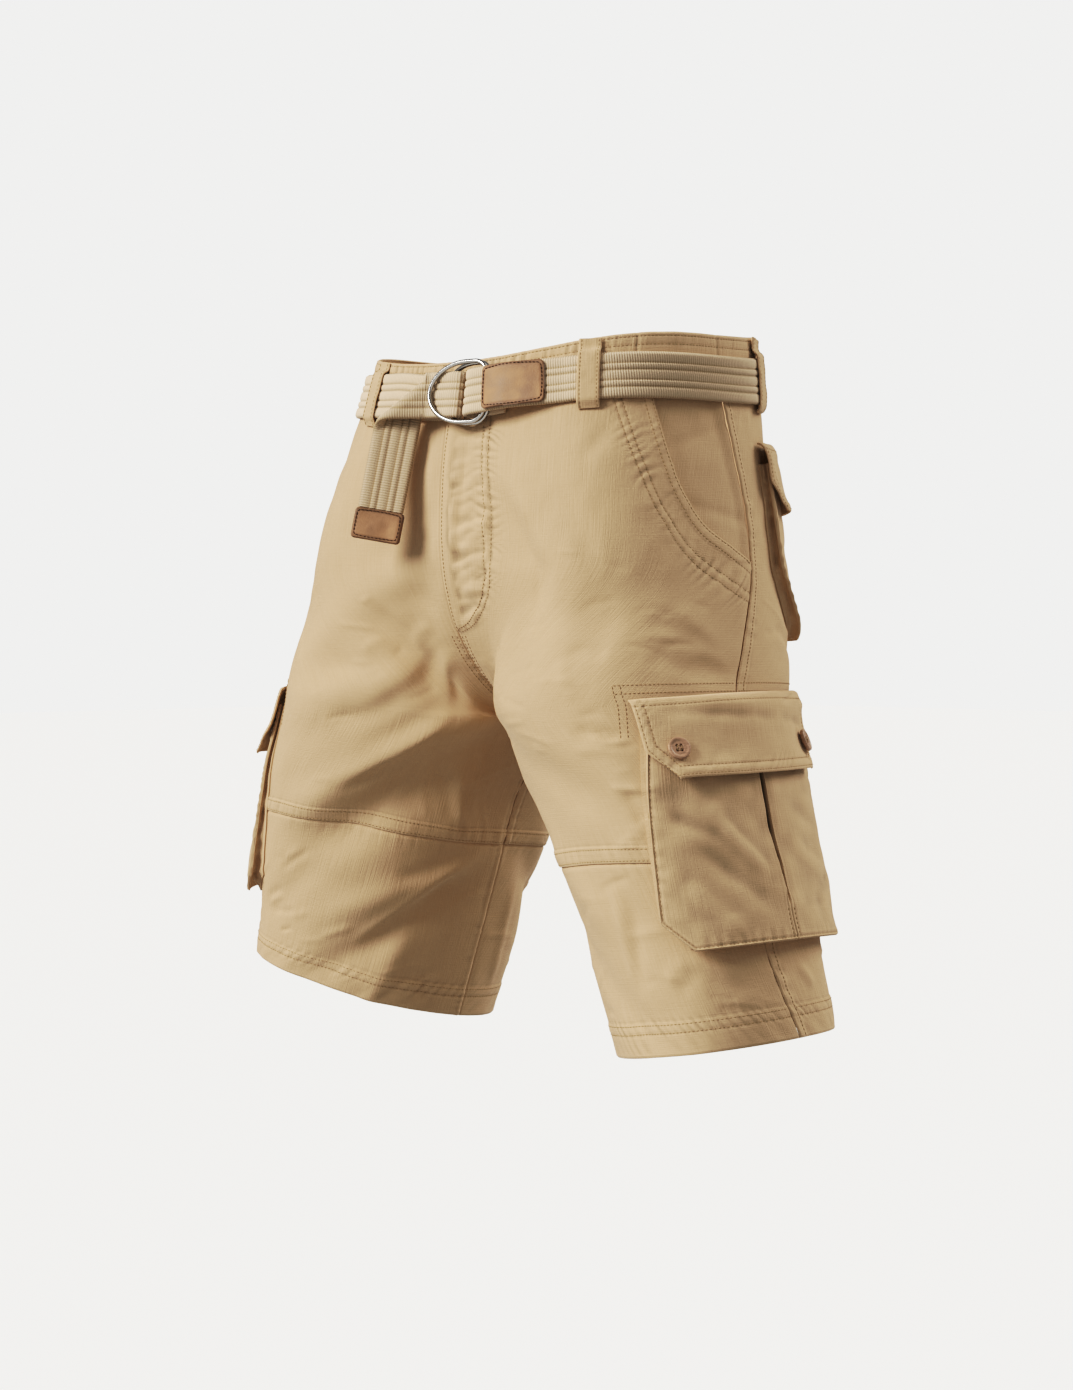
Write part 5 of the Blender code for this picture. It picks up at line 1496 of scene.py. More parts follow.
def flap_relief_out(pocket, side, across, drop):
    """How far a flap stands out, with its sewn edge, its dents and the pinch round its buttons."""
    top, foot = pocket["flap_top"], pocket["flap_bottom"]
    edge = cut_edge(flap_side(pocket, drop), foot, FLAP_CORNER, across, drop)
    seed = pocket_seed(side, pocket)
    out = flap_out(pocket, drop) + sewn(edge, *FLAP_ROWS) + rolled_edge("flap", edge)
    out = out + bead(edge, 0.0052, 0.0022, 0.0004) + sewn(drop - top, FLAP_TOP_ROW)
    out = out + bead(drop - top, 0.0, 0.0025, 0.0005)
    out = out + 0.0013 * ripple(FLAP_SEED + seed, across, drop, 0.030) * ease(edge / 0.02)
    out = out + 0.0005 * ripple(FLAP_SEED + 1 + seed, across, drop, 0.012)
    out = out + gathers("flap", across + drop, edge - 0.005, seed)
    for at in pocket["buttons"]:
        aside, down = across - at, drop - (foot - BUTTON_UP)
        reach = np.hypot(aside, down)
        ray = np.cos(3 * np.arctan2(down, aside) + 0.6)
        out = out - PINCH_RING * np.exp(-((reach - PINCH_REACH) / 0.006)**2) * (0.75 + 0.25 * ray)
        out = out - PINCH_DEPTH * np.exp(-(reach / PINCH_REACH)**2)
    fold = np.exp(-((drop - top - FLAP_FOLD_AT - 0.1 * across) / FLAP_FOLD_WIDTH)**2) * ease(edge / 0.03)
    return out - FLAP_FOLD * fold * (0.6 + 0.4 * ripple(FLAP_SEED + 4 + seed, across, 0, 0.03))


def make_flap(side, pocket):
    name, top, foot = pocket_node("flap", side, pocket), pocket["flap_top"], pocket["flap_bottom"]
    drops = knots((top, top + 0.010, 12), (top + 0.010, foot - 0.012, 21), (foot - 0.012, foot, 15))
    shares = knots((-1, -0.86, 15), (-0.86, 0.86, 75), (0.86, 1, 15))
    across, drop = shares * flap_half(pocket, drops)[:, None], drops[:, None] + 0 * shares
    out = flap_relief_out(pocket, side, across, drop)
    obj = shell(f"cloth_{name}", pocket_point(side, pocket, across, drop, out),
                pocket_outward(side, pocket, across, drop), FLAP_THICK, cloth_uv("flap", across, drop),
                seam_wear_and_shade(out - flap_out(pocket, drop)))
    as_cloth(obj, pocket_point(side, pocket, across, drop, flap_out(pocket, drop)), name,
             on=(pocket_node("face", side, pocket),))
    for row in FLAP_ROWS:
        path = cut_path(lambda drop: flap_side(pocket, drop), top + 0.004, foot, FLAP_CORNER, row)
        sew_pocket(side, pocket, *path, flap_relief_out)
    end = flap_half(pocket, top) - 0.004
    line = np.linspace(-end, end, 100)
    sew_pocket(side, pocket, line, np.full(len(line), top + FLAP_TOP_ROW), flap_relief_out)


def pocket_outline(pocket, side_by, foot_by):
    """The outline of a pocket down one side, along the foot and up the other, as (across, drop)."""
    foot, corner = pocket["bottom"] + foot_by, pocket["corner"]
    down = [(-pocket_half(pocket, d) - side_by, d) for d in np.linspace(pocket["top"], foot - corner, 61)]
    half = -down[-1][0]
    cut = [(-half + corner * t, foot - corner + corner * t) for t in np.linspace(0, 1, 16)[1:]]
    foot_run = [(a, foot) for a in np.linspace(-half + corner, 0, 46)[1:]]
    side_run = down + cut + foot_run
    return np.array(side_run + [(-a, d) for a, d in side_run[-2::-1]])


# The gusset's fold, the lips at its two seams, and how crumpled it is. Its width and the step between
# its points along the pocket are for the weave only.
GUSSET_THICK = 0.0010
GUSSET_FOLD = 0.0042
GUSSET_LIPS = (0.0014, 0.0016)
GUSSET_LIP_SPAN = 0.14
GUSSET_CRUMPLE = {"cargo": 0.0024, "back": 0.0036}
GUSSET_WIDTH = 0.02
GUSSET_STEP = 0.0016


def make_gusset(side, pocket):
    """The strip between the cloth and the face, folded in along its middle and crumpled."""
    name, seed = pocket_node("gusset", side, pocket), 0 if side == LEFT else 10
    creased, plain = [], []
    shares = np.linspace(0, 1, 19)
    for share in shares:
        inset = GUSSET_LIE + GUSSET_FOLD * (1 - abs(2 * share - 1)**1.5)
        outline = pocket_outline(pocket, -inset - pocket["lean"] * share, -inset + pocket["sag"] * share)
        across, drop = outline[:, 0], outline[:, 1]
        along = np.arange(len(drop)) * GUSSET_STEP
        far_lip, near_lip = (ease((end - 1) / GUSSET_LIP_SPAN + 1) for end in (share, 1 - share))
        bulge = GUSSET_LIPS[0] * far_lip + GUSSET_LIPS[1] * near_lip
        crumple = ripple(GUSSET_SEED + seed, along, share * GUSSET_WIDTH, 0.008)
        crumple = GUSSET_CRUMPLE[pocket["name"]] * crumple + gathers("gusset", along, 0, seed)
        shrink = 1 + (bulge + crumple * math.sin(math.pi * share)) / pocket["half"]
        near_foot = ease((drop - pocket["bottom"] + 0.05) / 0.05)
        top = stand(pocket, drop) - CLOTH - GUSSET_CLEAR + 0.0008
        out = GUSSET_LIE + (top - GUSSET_LIE) * share
        lower = drop + (shrink - 1) * 0.5 * pocket["half"] * near_foot
        creased.append(pocket_point(side, pocket, across * shrink, lower, out))
        plain.append(pocket_point(side, pocket, across, drop, out))
    points = np.stack(creased, axis=1)
    uv = cloth_uv("gusset", along[:, None], shares * GUSSET_WIDTH)
    middle = pocket_point(side, pocket, 0.0, pocket["bottom"] - 0.07, 0.01)
    obj = shell(f"cloth_{name}", points, points - middle, GUSSET_THICK, uv)
    as_cloth(obj, np.stack(plain, axis=1), name, on=(f"back_{SIDE_NAMES[side]}",))


def flap_point(side, pocket, across, drop):
    """A point of the flap's form, without its creases."""
    around, lower = pocket_place(pocket, across, drop)
    lift = flap_out(pocket, drop) + folds(side, around, lower)
    return form(side, around, lower) + lift * outward(side, around, lower)


HOLE_RADIUS = 0.00105
HOLE_OUT = 0.0023
HOLE_DEPTH = 0.0020
HOLE_TURNS = [math.radians(38) + math.pi / 2 * hole for hole in range(4)]
BUTTON_SIDES = 72
# The button's upper side, from its middle to its edge, and its lower side: radius and height as
# shares of its own.
BUTTON_PROFILE = ((0.0, 0.78), (0.60, 0.78), (0.68, 0.84), (0.76, 0.97), (0.84, 1.0), (0.93, 0.96),
                  (0.985, 0.74), (1.0, 0.45))
BUTTON_MIDDLE = 0.0021
BUTTON_UNDER = ((0.99, 0.0008), (0.90, 0.0), (0.02, 0.0))
THREADS = []
THREAD_RADIUS = 0.00026
THREAD_RISE = 0.0008


def button_frame(side, pocket, across):
    """Where a button is seated on its flap, and its directions sideways, down and out."""
    drop, reach = pocket["flap_bottom"] - BUTTON_UP, BUTTON_RADIUS
    spots = [flap_point(side, pocket, across + a * reach, drop + d * reach)
             for a, d in ((0, 0), (0, -1), (0, 1), (-1, 0), (1, 0))]
    along = unit(spots[2] - spots[1])
    up = unit(np.cross(along, spots[4] - spots[3])) * side
    return spots[0] + BUTTON_LIE * up, np.cross(up, along), along, up


def button_rings():
    """The rings of a button's disc as arrays of places across and down it, with their heights."""
    turns = 2 * math.pi * np.arange(BUTTON_SIDES) / BUTTON_SIDES
    rings = []
    radii = np.concatenate((np.linspace(0.02, 0.56, 22), np.linspace(0.58, 1.0, 16)))
    heights = np.interp(radii, *zip(*BUTTON_PROFILE)) * BUTTON_THICKNESS
    for radius, height in zip(radii, heights):
        x, y = radius * BUTTON_RADIUS * np.cos(turns), radius * BUTTON_RADIUS * np.sin(turns)
        for turn in HOLE_TURNS:
            away = np.hypot(x - HOLE_OUT * math.cos(turn), y - HOLE_OUT * math.sin(turn))
            height = height - HOLE_DEPTH * ease((HOLE_RADIUS - away) / 0.0003 + 0.5)
        rings.append((x, y, height))
    for radius, height in BUTTON_UNDER:
        rings.append((radius * BUTTON_RADIUS * np.cos(turns), radius * BUTTON_RADIUS * np.sin(turns),
                      np.full(BUTTON_SIDES, height)))
    return rings


def make_button(side, pocket, number, across):
    """A four-hole button with a raised rim and its thread, seated on the flap."""
    name = f"{pocket_node('button', side, pocket)}_{number}"
    seat, sideways, along, up = button_frame(side, pocket, across)
    rings = button_rings()
    verts = [(seat + up * BUTTON_MIDDLE)[None, :]]
    for x, y, height in rings:
        verts.append(seat + height[:, None] * up + x[:, None] * sideways + y[:, None] * along)
    verts.append(seat[None, :])
    last = 1 + (len(rings) - 1) * BUTTON_SIDES
    under = last + BUTTON_SIDES
    faces = [(0, 1 + k, 1 + (k + 1) % BUTTON_SIDES) for k in range(BUTTON_SIDES)]
    faces += [face[:1] + face[:0:-1] for face in tube_faces(1, BUTTON_SIDES, len(rings))]
    faces += [(last + k, under, last + (k + 1) % BUTTON_SIDES) for k in range(BUTTON_SIDES)]
    dress(new_object(f"{name}_disc", stacked(*verts), faces, MATERIALS["button"]), "button", name)

    level = seat + up * (BUTTON_THICKNESS * BUTTON_PROFILE[0][1] - 0.0005)
    holes = [level + HOLE_OUT * (math.cos(turn) * sideways + math.sin(turn) * along) for turn in HOLE_TURNS]
    for a, b in ((0, 1), (2, 3), (0, 3), (1, 2)):
        middle = (holes[a] + holes[b]) / 2 + up * THREAD_RISE
        THREADS.append((holes[a], middle, holes[b], up))


def make_threads(name, material):
    """The thread through the buttons' holes."""
    verts, faces = [], []
    for a, b, c, up in THREADS:
        aside = np.cross(unit(c - a), up)
        first = len(verts)
        for centre in (a, (a + b) / 2 + up * 0.0001, b, (b + c) / 2 + up * 0.0001, c):
            for turn in math.pi / 3 * np.arange(6):
                verts.append(centre + THREAD_RADIUS * (math.cos(turn) * aside + math.sin(turn) * up))
        faces += tube_faces(first, 6, 5)
        faces += [range(first + 5, first - 1, -1), range(first + 24, first + 30)]
    dress(new_object(name, verts, faces, material), "cloth")


# The box's level rows from the flap's seam, its upright rows from the pocket's sides, and its depth.
BOX_ROWS = (-0.0075, -0.0015)
BOX_SIDES = (0.012, 0.006)
BOX_DEPTH = 0.030


def sew_box(side, pocket):
    """The rows that hold a cargo flap's seam to the leg: a row above it and a small box at each end."""
    half, top = pocket["half"], pocket["flap_top"]
    end = half + BOX_SIDES[0]
    for row in BOX_ROWS:
        around = pocket["middle"] + np.linspace(-end, end, 120) / girth(top + row)
        in_front = around < side_seam(top)
        for kind, chosen in (("front", in_front), ("back", ~in_front)):
            if chosen.sum() > 3:
                sew_panel(kind, side, around[chosen], top + row)
    down = np.linspace(top + BOX_ROWS[0], top + BOX_DEPTH, 26)
    for kind, way in (("front", -1), ("back", 1)):
        for beyond in BOX_SIDES:
            sew_panel(kind, side, pocket["middle"] + way * (half + beyond) / girth(down), down)


def make_pockets(side):
    for pocket in named_rows(POCKET_COLUMNS, POCKETS):
        if pocket["side"] in (0, side):
            make_gusset(side, pocket)
            make_face(side, pocket)
            make_flap(side, pocket)
            if pocket["name"] == "cargo":
                sew_box(side, pocket)
            for number, across in enumerate(pocket["buttons"], 1):
                make_button(side, pocket, number, across)


for one_side in (LEFT, RIGHT):
    make_pockets(one_side)
make_stitches("sewing_pockets", MATERIALS["thread"])
make_threads("button_threads", MATERIALS["thread"])


# ---------------------------------------------------------------- belt, loops and buckle
BELT_TOP = 0.0105
BELT_SAG = 0.006


def belt_top(around):
    """The drop of the belt's upper edge, which is lowest at the sides."""
    return BELT_TOP + BELT_SAG * np.sin(np.pi * around)


def on_form(side, around, drop, out):
    return form(side, around, drop) + out * outward(side, around, drop)


def on_waist(side, around, out):
    """Centre and width of the belt where it lies on the waistband."""
    top, bottom = (on_form(side, around, belt_top(around) + down, out) for down in (0.0, BELT_WIDTH))
    return (top + bottom) / 2, unit(top - bottom)


# How far the belt's layers and the rings are from the cloth in front, and their places across it.
ON_WAIST = BELT_LIE + BELT_CLOTH / 2
UNDER = 0.0036
STRAP_UNDER = 0.0041
REAR_BAR = 0.0072
REAR_ARC = 0.0077
FRONT_BAR = 0.0110
STRAP_TOP = 0.0145
OVER = 0.0118
OVER_EXIT = 0.0136
FRONT_ARC = 0.0180
BAR_X = 0.047
FRONT_ARC_X = -0.003
REAR_ARC_X = 0.0015
STRAP_FOLD_X = 0.0345
STRAP_END_X = 0.060
TAIL_FOLD_X = 0.0165
BELT_END_X = 0.0150
EXIT_X = -0.006
PATCH_START = 0.0485
PATCH_STEPS = 6
PATCH_STEP = 0.0077
PATCH_WIDTH = 0.033
STRAP_LEVEL_END = 0.055
STRAP_DOWN_AT = 0.112
LEATHER = 0.0018
BUCKLE_DIP = 0.0065
DIP_PLACES = (-0.055, -0.005, 0.030, 0.112)
SEAM_GAP = 0.0003


def front_base(x):
    """The place in round of a point of the belt at this distance from the centre front."""
    arounds = np.linspace(0.0, 0.35, 71)
    points = form(LEFT, arounds, belt_top(arounds) + BELT_WIDTH / 2)
    return float(np.interp(abs(x), points[:, 0], arounds))


def buckle_dip(x):
    """How far the belt sags beside its rings."""
    start, full, level, end = DIP_PLACES
    return BUCKLE_DIP * ease((x - start) / (full - start)) * (1 - portion(x, level, end))


def front_point(x, out):
    """The belt's centre in front, at a place across and so far out of the cloth."""
    side = LEFT if x >= 0 else RIGHT
    around = front_base(x)
    drop = belt_top(around) + BELT_WIDTH / 2 + buckle_dip(x)
    return form(side, around, drop) + out * outward(side, max(around, 0.03), drop)


def front_width(x):
    side = LEFT if x >= 0 else RIGHT
    width = on_waist(side, max(front_base(x), 0.03), ON_WAIST)[1]
    return width if abs(x) > STRAP_LEVEL_END else unit(width * np.array((0.0, 1.0, 1.0)))


def front_upright():
    drop = float(belt_top(0.03))
    up = form(LEFT, 0.03, drop) - form(LEFT, 0.03, drop + BELT_WIDTH)
    return unit(up * np.array((0.0, 1.0, 1.0)))


def strap_out(x):
    """How far out the strap is: it comes down to the waistband beside the rings."""
    return STRAP_TOP + (ON_WAIST - STRAP_TOP) * ease(portion(x, STRAP_LEVEL_END, STRAP_DOWN_AT))


def resample(points, step):
    """Points at even steps along a smooth curve through the given ones, and their distances."""
    points = np.asarray(points, float)
    flat = points.reshape(len(points), -1)
    reach = reaches(flat[:, :3])
    at = np.linspace(0, reach[-1], int(round(reach[-1] / step)) + 1)
    made = np.stack([smooth(reach, column, at) for column in flat.T], -1)
    return made.reshape(len(at), *points.shape[1:]), at


def frames(centres, widths):
    """Widths made square to the line through the centres, and the normals that go with them."""
    tangents = unit(np.gradient(centres, axis=0))
    widths = unit(widths - (widths * tangents).sum(-1, keepdims=True) * tangents)
    return widths, np.cross(widths, tangents)


KNIT = 0.0019
KNIT_HEIGHT = 0.00042
RIB_STEPS = 5
GROOVE = 0.0007
WEBBING_EDGE = 0.0006
# Painted shade on the tail, which lies in the shade of the body from a little after its start.
TAIL_PAINTED_SHADE = 0.24
TAIL_SHADE_START = 0.03
TAIL_SHADE_SPAN = 0.03


def webbing_profile():
    """Places across the webbing, how high each rib stands there, and how deep in a groove it is."""
    starts = np.concatenate(([0.0], np.cumsum(BELT_RIBS)))
    share = np.arange(RIB_STEPS) / RIB_STEPS
    rib = np.array(BELT_RIBS)[:, None] * share
    places = np.append(starts[:-1, None] + rib, starts[-1])
    heights = np.append(np.tile(RIB_HEIGHT * np.sqrt(1 - (2 * share - 1)**2), len(BELT_RIBS)), 0.0)
    grooves = np.append(np.exp(-(rib / GROOVE)**2), 0.6)
    grooves[0] = 0.6
    return places - BELT_WIDTH / 2, heights, grooves


def webbing_mesh(name, node, middle, normals, at, both=False, painted_shade=0.0):
    """Ribbed webbing from the grid of its middle face: fine cross ribs over the lengthwise ones."""
    places, heights, grooves = webbing_profile()
    knit = np.cos(2 * np.pi * at / KNIT)[:, None]
    rows, columns = middle.shape[:2]
    shape = heights * (1 + 0.12 * knit) + KNIT_HEIGHT * knit * (1 - 0.5 * grooves)
    flat = np.full(columns, BELT_CLOTH / 2)
    flat[0] = flat[-1] = BELT_CLOTH / 2 - WEBBING_EDGE
    stops = np.unique(np.append(np.arange(0, rows, 1 if both else COARSE), rows - 1))
    front = middle + (flat + shape)[..., None] * normals
    back = (middle - (flat + both * shape)[..., None] * normals)[stops]
    top = numbered(front)
    low = numbered(back, top.size)
    faces = quads(top, True) + quads(low, False)
    for column, turned in ((0, False), (-1, True)):
        faces += rim(top[:, column], low[:, column], stops, turned)
    for row, turned in ((0, True), (-1, False)):
        faces += rim(top[row], low[row], range(columns), turned)
    obj = new_object(name, stacked(front, back), faces, MATERIALS["webbing"])
    uv = np.stack(np.broadcast_arrays(at[:, None], places), -1)
    set_uv(obj, stacked(uv, uv[stops]))
    # Painted shade, darker in the grooves and between the cross ribs, plus the painted shade passed in; the
    # plain back face takes half of it.
    shade = np.clip(grooves * (0.55 + 0.30 * (1 - knit)) + 0.22 * (1 - knit) + painted_shade, 0, 1)
    set_shade(obj, np.concatenate((shade.ravel(), shade[stops].ravel() * (1.0 if both else 0.5))))
    dress(obj, "webbing", node)


def belt_path():
    """Centres and widths of the belt, as in the solids: from behind the rings, round, to their strap.
    Also the distances along it between which the patch lies."""
    patch_end = PATCH_START + PATCH_STEPS * PATCH_STEP
    middle_out, radius = (STRAP_TOP + STRAP_UNDER) / 2, (STRAP_TOP - STRAP_UNDER) / 2
    start = [(x, UNDER) for x in (BELT_END_X, 0.005, -0.005, -0.018)]
    lead = [(x, strap_out(x)) for x in (0.106, 0.100)]
    patch = [(x, strap_out(x)) for x in np.linspace(patch_end, PATCH_START, PATCH_STEPS + 1)]
    fold = [(STRAP_FOLD_X - radius * math.cos(t), middle_out + radius * math.sin(t))
            for t in np.linspace(math.pi / 2, -math.pi / 2, 7)]
    end = [(x, STRAP_UNDER) for x in (0.048, STRAP_END_X)]
    around = [(RIGHT, a) for a in np.linspace(0.10, 1.0, 24)]
    around += [(LEFT, a) for a in np.linspace(1.0, front_base(STRAP_DOWN_AT), 21)[1:]]
    sections = [(front_point(x, out), front_width(x)) for x, out in start]
    sections += [on_waist(side, a, ON_WAIST) for side, a in around]
    first = len(sections) + len(lead)
    sections += [(front_point(x, out), front_width(x)) for x, out in lead + patch + fold + end]
    path = np.array(sections)
    reach = reaches(path[:, 0])
    return path, (reach[first], reach[first + PATCH_STEPS])


def make_belt():
    path, patch_span = belt_path()
    fine, at = resample(path, KNIT / 3)
    centres = fine[:, 0]
    widths, normals = frames(centres, unit(fine[:, 1]))
    rows = centres[:, None, :] + webbing_profile()[0][None, :, None] * widths[:, None, :]
    webbing_mesh("webbing_belt", "belt", rows, normals[:, None, :], at)
    chosen = (at >= patch_span[0] - 1e-6) & (at <= patch_span[1] + 1e-6)
    make_patch(centres[chosen], widths[chosen], normals[chosen], at[chosen])


def plate_mesh(name, node, locate, length, width, corner, thick):
    """A thin leather plate with round corners: locate gives a point and its normal at (along, across)."""
    u, v = np.broadcast_arrays(np.linspace(-1, 1, PLATE_STEPS[0] + 1)[:, None] * length / 2,
                               np.linspace(-1, 1, PLATE_STEPS[1] + 1) * width / 2)
    du, dv = np.maximum(np.abs(u) - length / 2 + corner, 0), np.maximum(np.abs(v) - width / 2 + corner, 0)
    both = (du > 0) & (dv > 0)
    shrink = np.where(both, np.maximum(du, dv) / np.where(both, np.hypot(du, dv), 1.0), 1.0)
    x = np.sign(u) * (np.minimum(np.abs(u), length / 2 - corner) + du * shrink)
    y = np.sign(v) * (np.minimum(np.abs(v), width / 2 - corner) + dv * shrink)
    edge = np.minimum(length / 2 - np.abs(u), width / 2 - np.abs(v))
    points, normals = locate(x, y)
    rise = thick / 2 * np.sqrt(1 - (1 - np.clip(edge / 0.0012, 0, 1))**2)
    uneven = bead(edge, PLATE_ROW, 0.0007, -0.0003) + 0.00025 * ripple(221, x, y, 0.008)
    top = points + (rise + uneven)[..., None] * normals
    low = points - rise[..., None] * normals
    a = numbered(top)
    ring = np.concatenate((a[0], a[1:, -1], a[-1, -2::-1], a[-2::-1, 0]))
    faces = quads(a, True) + quads(a + a.size, False) + rim(ring, ring + a.size, range(len(ring)), True)
    obj = new_object(name, stacked(top, low), faces, MATERIALS["leather"])
    # Darker along the edges, the leather's own colour, and painted shade along the stitch groove.
    wear_and_shade = np.clip(1 - edge / 0.0016, 0, 1) * 0.85 + 0.35 * np.exp(-((edge - PLATE_ROW) / 0.001)**2)
    set_shade(obj, np.tile(wear_and_shade.ravel(), 2))
    dress(obj, "leather", node)


PATCH_CORNER = 0.0045
PATCH_ROW = 0.0024
PLATE_STEPS = (60, 40)
PLATE_ROW = 0.0022


def make_patch(centres, widths, normals, at):
    """The bare leather patch on the belt, with a row of dark stitches round it."""
    lie_out = BELT_CLOTH / 2 + RIB_HEIGHT + SEAM_GAP + LEATHER / 2
    length, middle = at[-1] - at[0], (at[-1] + at[0]) / 2

    def locate(x, y):
        centre, width, normal = (read_line(middle + x, at, line) for line in (centres, widths, normals))
        normal = unit(normal)
        return centre + y[..., None] * width + lie_out * normal, normal

    plate_mesh("leather_patch", "belt_patch", locate, length, PATCH_WIDTH, PATCH_CORNER, LEATHER)
    frame = length - 2 * PATCH_ROW, PATCH_WIDTH - 2 * PATCH_ROW, PATCH_CORNER - 0.001
    sew_frame(locate, *frame, LEATHER / 2)


def sew_frame(locate, length, width, corner, up):
    """A row of stitches round a rectangle with round corners, on a plate's upper face."""
    path = []
    for start, cx, cy in ((0, 1, 1), (1, -1, 1), (2, -1, -1), (3, 1, -1)):
        for t in np.linspace(0, math.pi / 2, 8) + start * math.pi / 2:
            path.append((cx * (length / 2 - corner) + corner * math.cos(t),
                         cy * (width / 2 - corner) + corner * math.sin(t), 0.0))
    fine = resample(path + path[:1], 0.0006)[0]
    points, normals = locate(fine[:, 0], fine[:, 1])
    sew(points + (up + STITCH_LIFT) * normals, normals, 0.0, pitch=LEATHER_PITCH)


LEATHER_PITCH = 0.0029
TURN_OUT = math.radians(38)
TURN_LENGTH = 0.007
ROLL_RADIUS = 0.0050
ROLL_START = 0.005
ROLL_ANGLE = math.radians(50)
HANG_LENGTH = 0.088
TIP_LENGTH = 0.024


def rolled(along, across):
    """Where a place on the flat tail comes to when it is rolled back: forth, up and behind."""
    slope, level = math.cos(ROLL_ANGLE), math.sin(ROLL_ANGLE)
    q = (along - ROLL_START) * slope + across * level
    t = across * slope - (along - ROLL_START) * level
    turn = np.clip(q / ROLL_RADIUS, 0, math.pi)
    over = ROLL_RADIUS * np.sin(turn) + np.minimum(q, 0) - np.maximum(q - math.pi * ROLL_RADIUS, 0)
    return ROLL_START + over * slope - t * level, over * level + t * slope, ROLL_RADIUS * (1 - np.cos(turn))


def tail_lead():
    """The tail's centres over the rear ring, under the front one and out."""
    radius = (OVER - UNDER) / 2
    path = [front_point(TAIL_FOLD_X + radius * math.cos(t), (OVER + UNDER) / 2 + radius * math.sin(t))
            for t in np.linspace(-math.pi / 2, math.pi / 2, 6)]
    path += [front_point(0.006, (OVER + OVER_EXIT) / 2), front_point(EXIT_X, OVER_EXIT)]
    for heading in TURN_OUT * np.arange(1, 4) / 3:
        path.append(path[-1] + TURN_LENGTH / 3 * np.array((-math.cos(heading), -math.sin(heading), 0.0)))
    return path


def make_tail():
    """The free end: over the rear ring, under the front one, out, rolled back and down to its tip."""
    across = webbing_profile()[0]
    up = front_upright()
    path = tail_lead()
    lead, lead_at = resample(path, KNIT / 3)
    rows = [centre + across[:, None] * up for centre in lead[:-1]]

    along = np.array((-math.cos(TURN_OUT), -math.sin(TURN_OUT), 0.0))
    rise = unit(up - (up @ along) * along)
    back = np.cross(along, rise)
    back = back if back[1] > 0 else -back
    roll_end = math.pi * ROLL_RADIUS + BELT_WIDTH / 2 * math.sin(ROLL_ANGLE)
    total = ROLL_START + roll_end / math.cos(ROLL_ANGLE) + HANG_LENGTH - BELT_WIDTH
    steps = np.linspace(0, total, int(total / KNIT * 3) + 1)
    for step in steps:
        forth, height, behind = (amount[:, None] for amount in rolled(step, across))
        rows.append(path[-1] + forth * along + height * rise + behind * back)
    middle = np.array(rows)
    at = np.concatenate((lead_at[:-1], lead_at[-1] + steps))
    normals = unit(np.cross(np.gradient(middle, axis=1), np.gradient(middle, axis=0)))
    # The hanging tail is painted darker, as the shade that it lies in.
    painted_shade = TAIL_PAINTED_SHADE * ease((at[:, None] - TAIL_SHADE_START) / TAIL_SHADE_SPAN)
    webbing_mesh("webbing_tail", "belt_tail", middle, normals, at, both=True, painted_shade=painted_shade)
    make_tip(middle)


def make_tip(middle):
    """The leather folded over the end of the tail."""
    end = middle[-1].mean(axis=0)
    down = unit(end - middle[-9].mean(axis=0))
    width = unit(middle[-1][-1] - middle[-1][0])
    facing = np.cross(width, down)
    facing = facing if facing @ np.array((1.0, -1.0, 0.0)) > 0 else -facing
    centre = end + down * (SEAM_GAP + TIP_LENGTH) / 2

    def locate(x, y):
        return centre + x[..., None] * down + y[..., None] * width, np.broadcast_to(facing, (*x.shape, 3))

    thick = BELT_CLOTH + 2 * LEATHER
    plate_mesh("leather_tip", "belt_tip", locate, TIP_LENGTH - SEAM_GAP, BELT_WIDTH + 0.003, 0.003, thick)
    sew_frame(locate, TIP_LENGTH - 0.005, BELT_WIDTH - 0.002, 0.002, thick / 2)


def make_ring(node, arc_x, bar_out, arc_out):
    """A steel ring of round wire, as its solid but finer: a bow between its arc and its straight bar."""
    bar, arc = front_point(BAR_X, bar_out), front_point(arc_x, arc_out)
    width = np.linalg.norm(bar - arc)
    along = (bar - arc) / width
    up = front_upright()
    up = unit(up - (up @ along) * along)
    height = (RING_HEIGHT - WIRE) / 2
    bow = width * RING_BOW
    inset, upright = width - RING_CORNER, height - RING_CORNER
    turns, quarter = np.linspace(-math.pi / 2, math.pi / 2, 61), np.linspace(0, math.pi / 2, 17)
    corner = [(RING_CORNER * math.sin(t), RING_CORNER * math.cos(t)) for t in quarter]
    outline = [(bow - bow * math.cos(t), height * math.sin(t)) for t in turns]
    outline += [(inset + x, upright + y) for x, y in corner]
    outline += [(inset + y, -upright - x) for x, y in corner]
    curve = bpy.data.curves.new(f"{node}_wire", "CURVE")
    curve.dimensions = "3D"
    curve.bevel_depth = WIRE / 2
    curve.bevel_resolution = 6
    spline = curve.splines.new("POLY")
    spline.points.add(len(outline) - 1)
    for point, (a, b) in zip(spline.points, outline):
        point.co = (*(arc + along * a + up * b), 1.0)
    spline.use_cyclic_u = True
    ring = bpy.data.objects.new(f"{node}_wire", curve)
    bpy.context.scene.collection.objects.link(ring)
    curve.materials.append(MATERIALS["steel"])
    dress(ring, "steel", node)


LOOPS = (("front_left", LEFT, 0.245), ("front_right", RIGHT, 0.165), ("side_left", LEFT, 0.640),
         ("side_right", RIGHT, 0.640), ("centre_back", LEFT, 1.0))
LOOP_ROW = 0.0022
LOOP_STEPS = 67


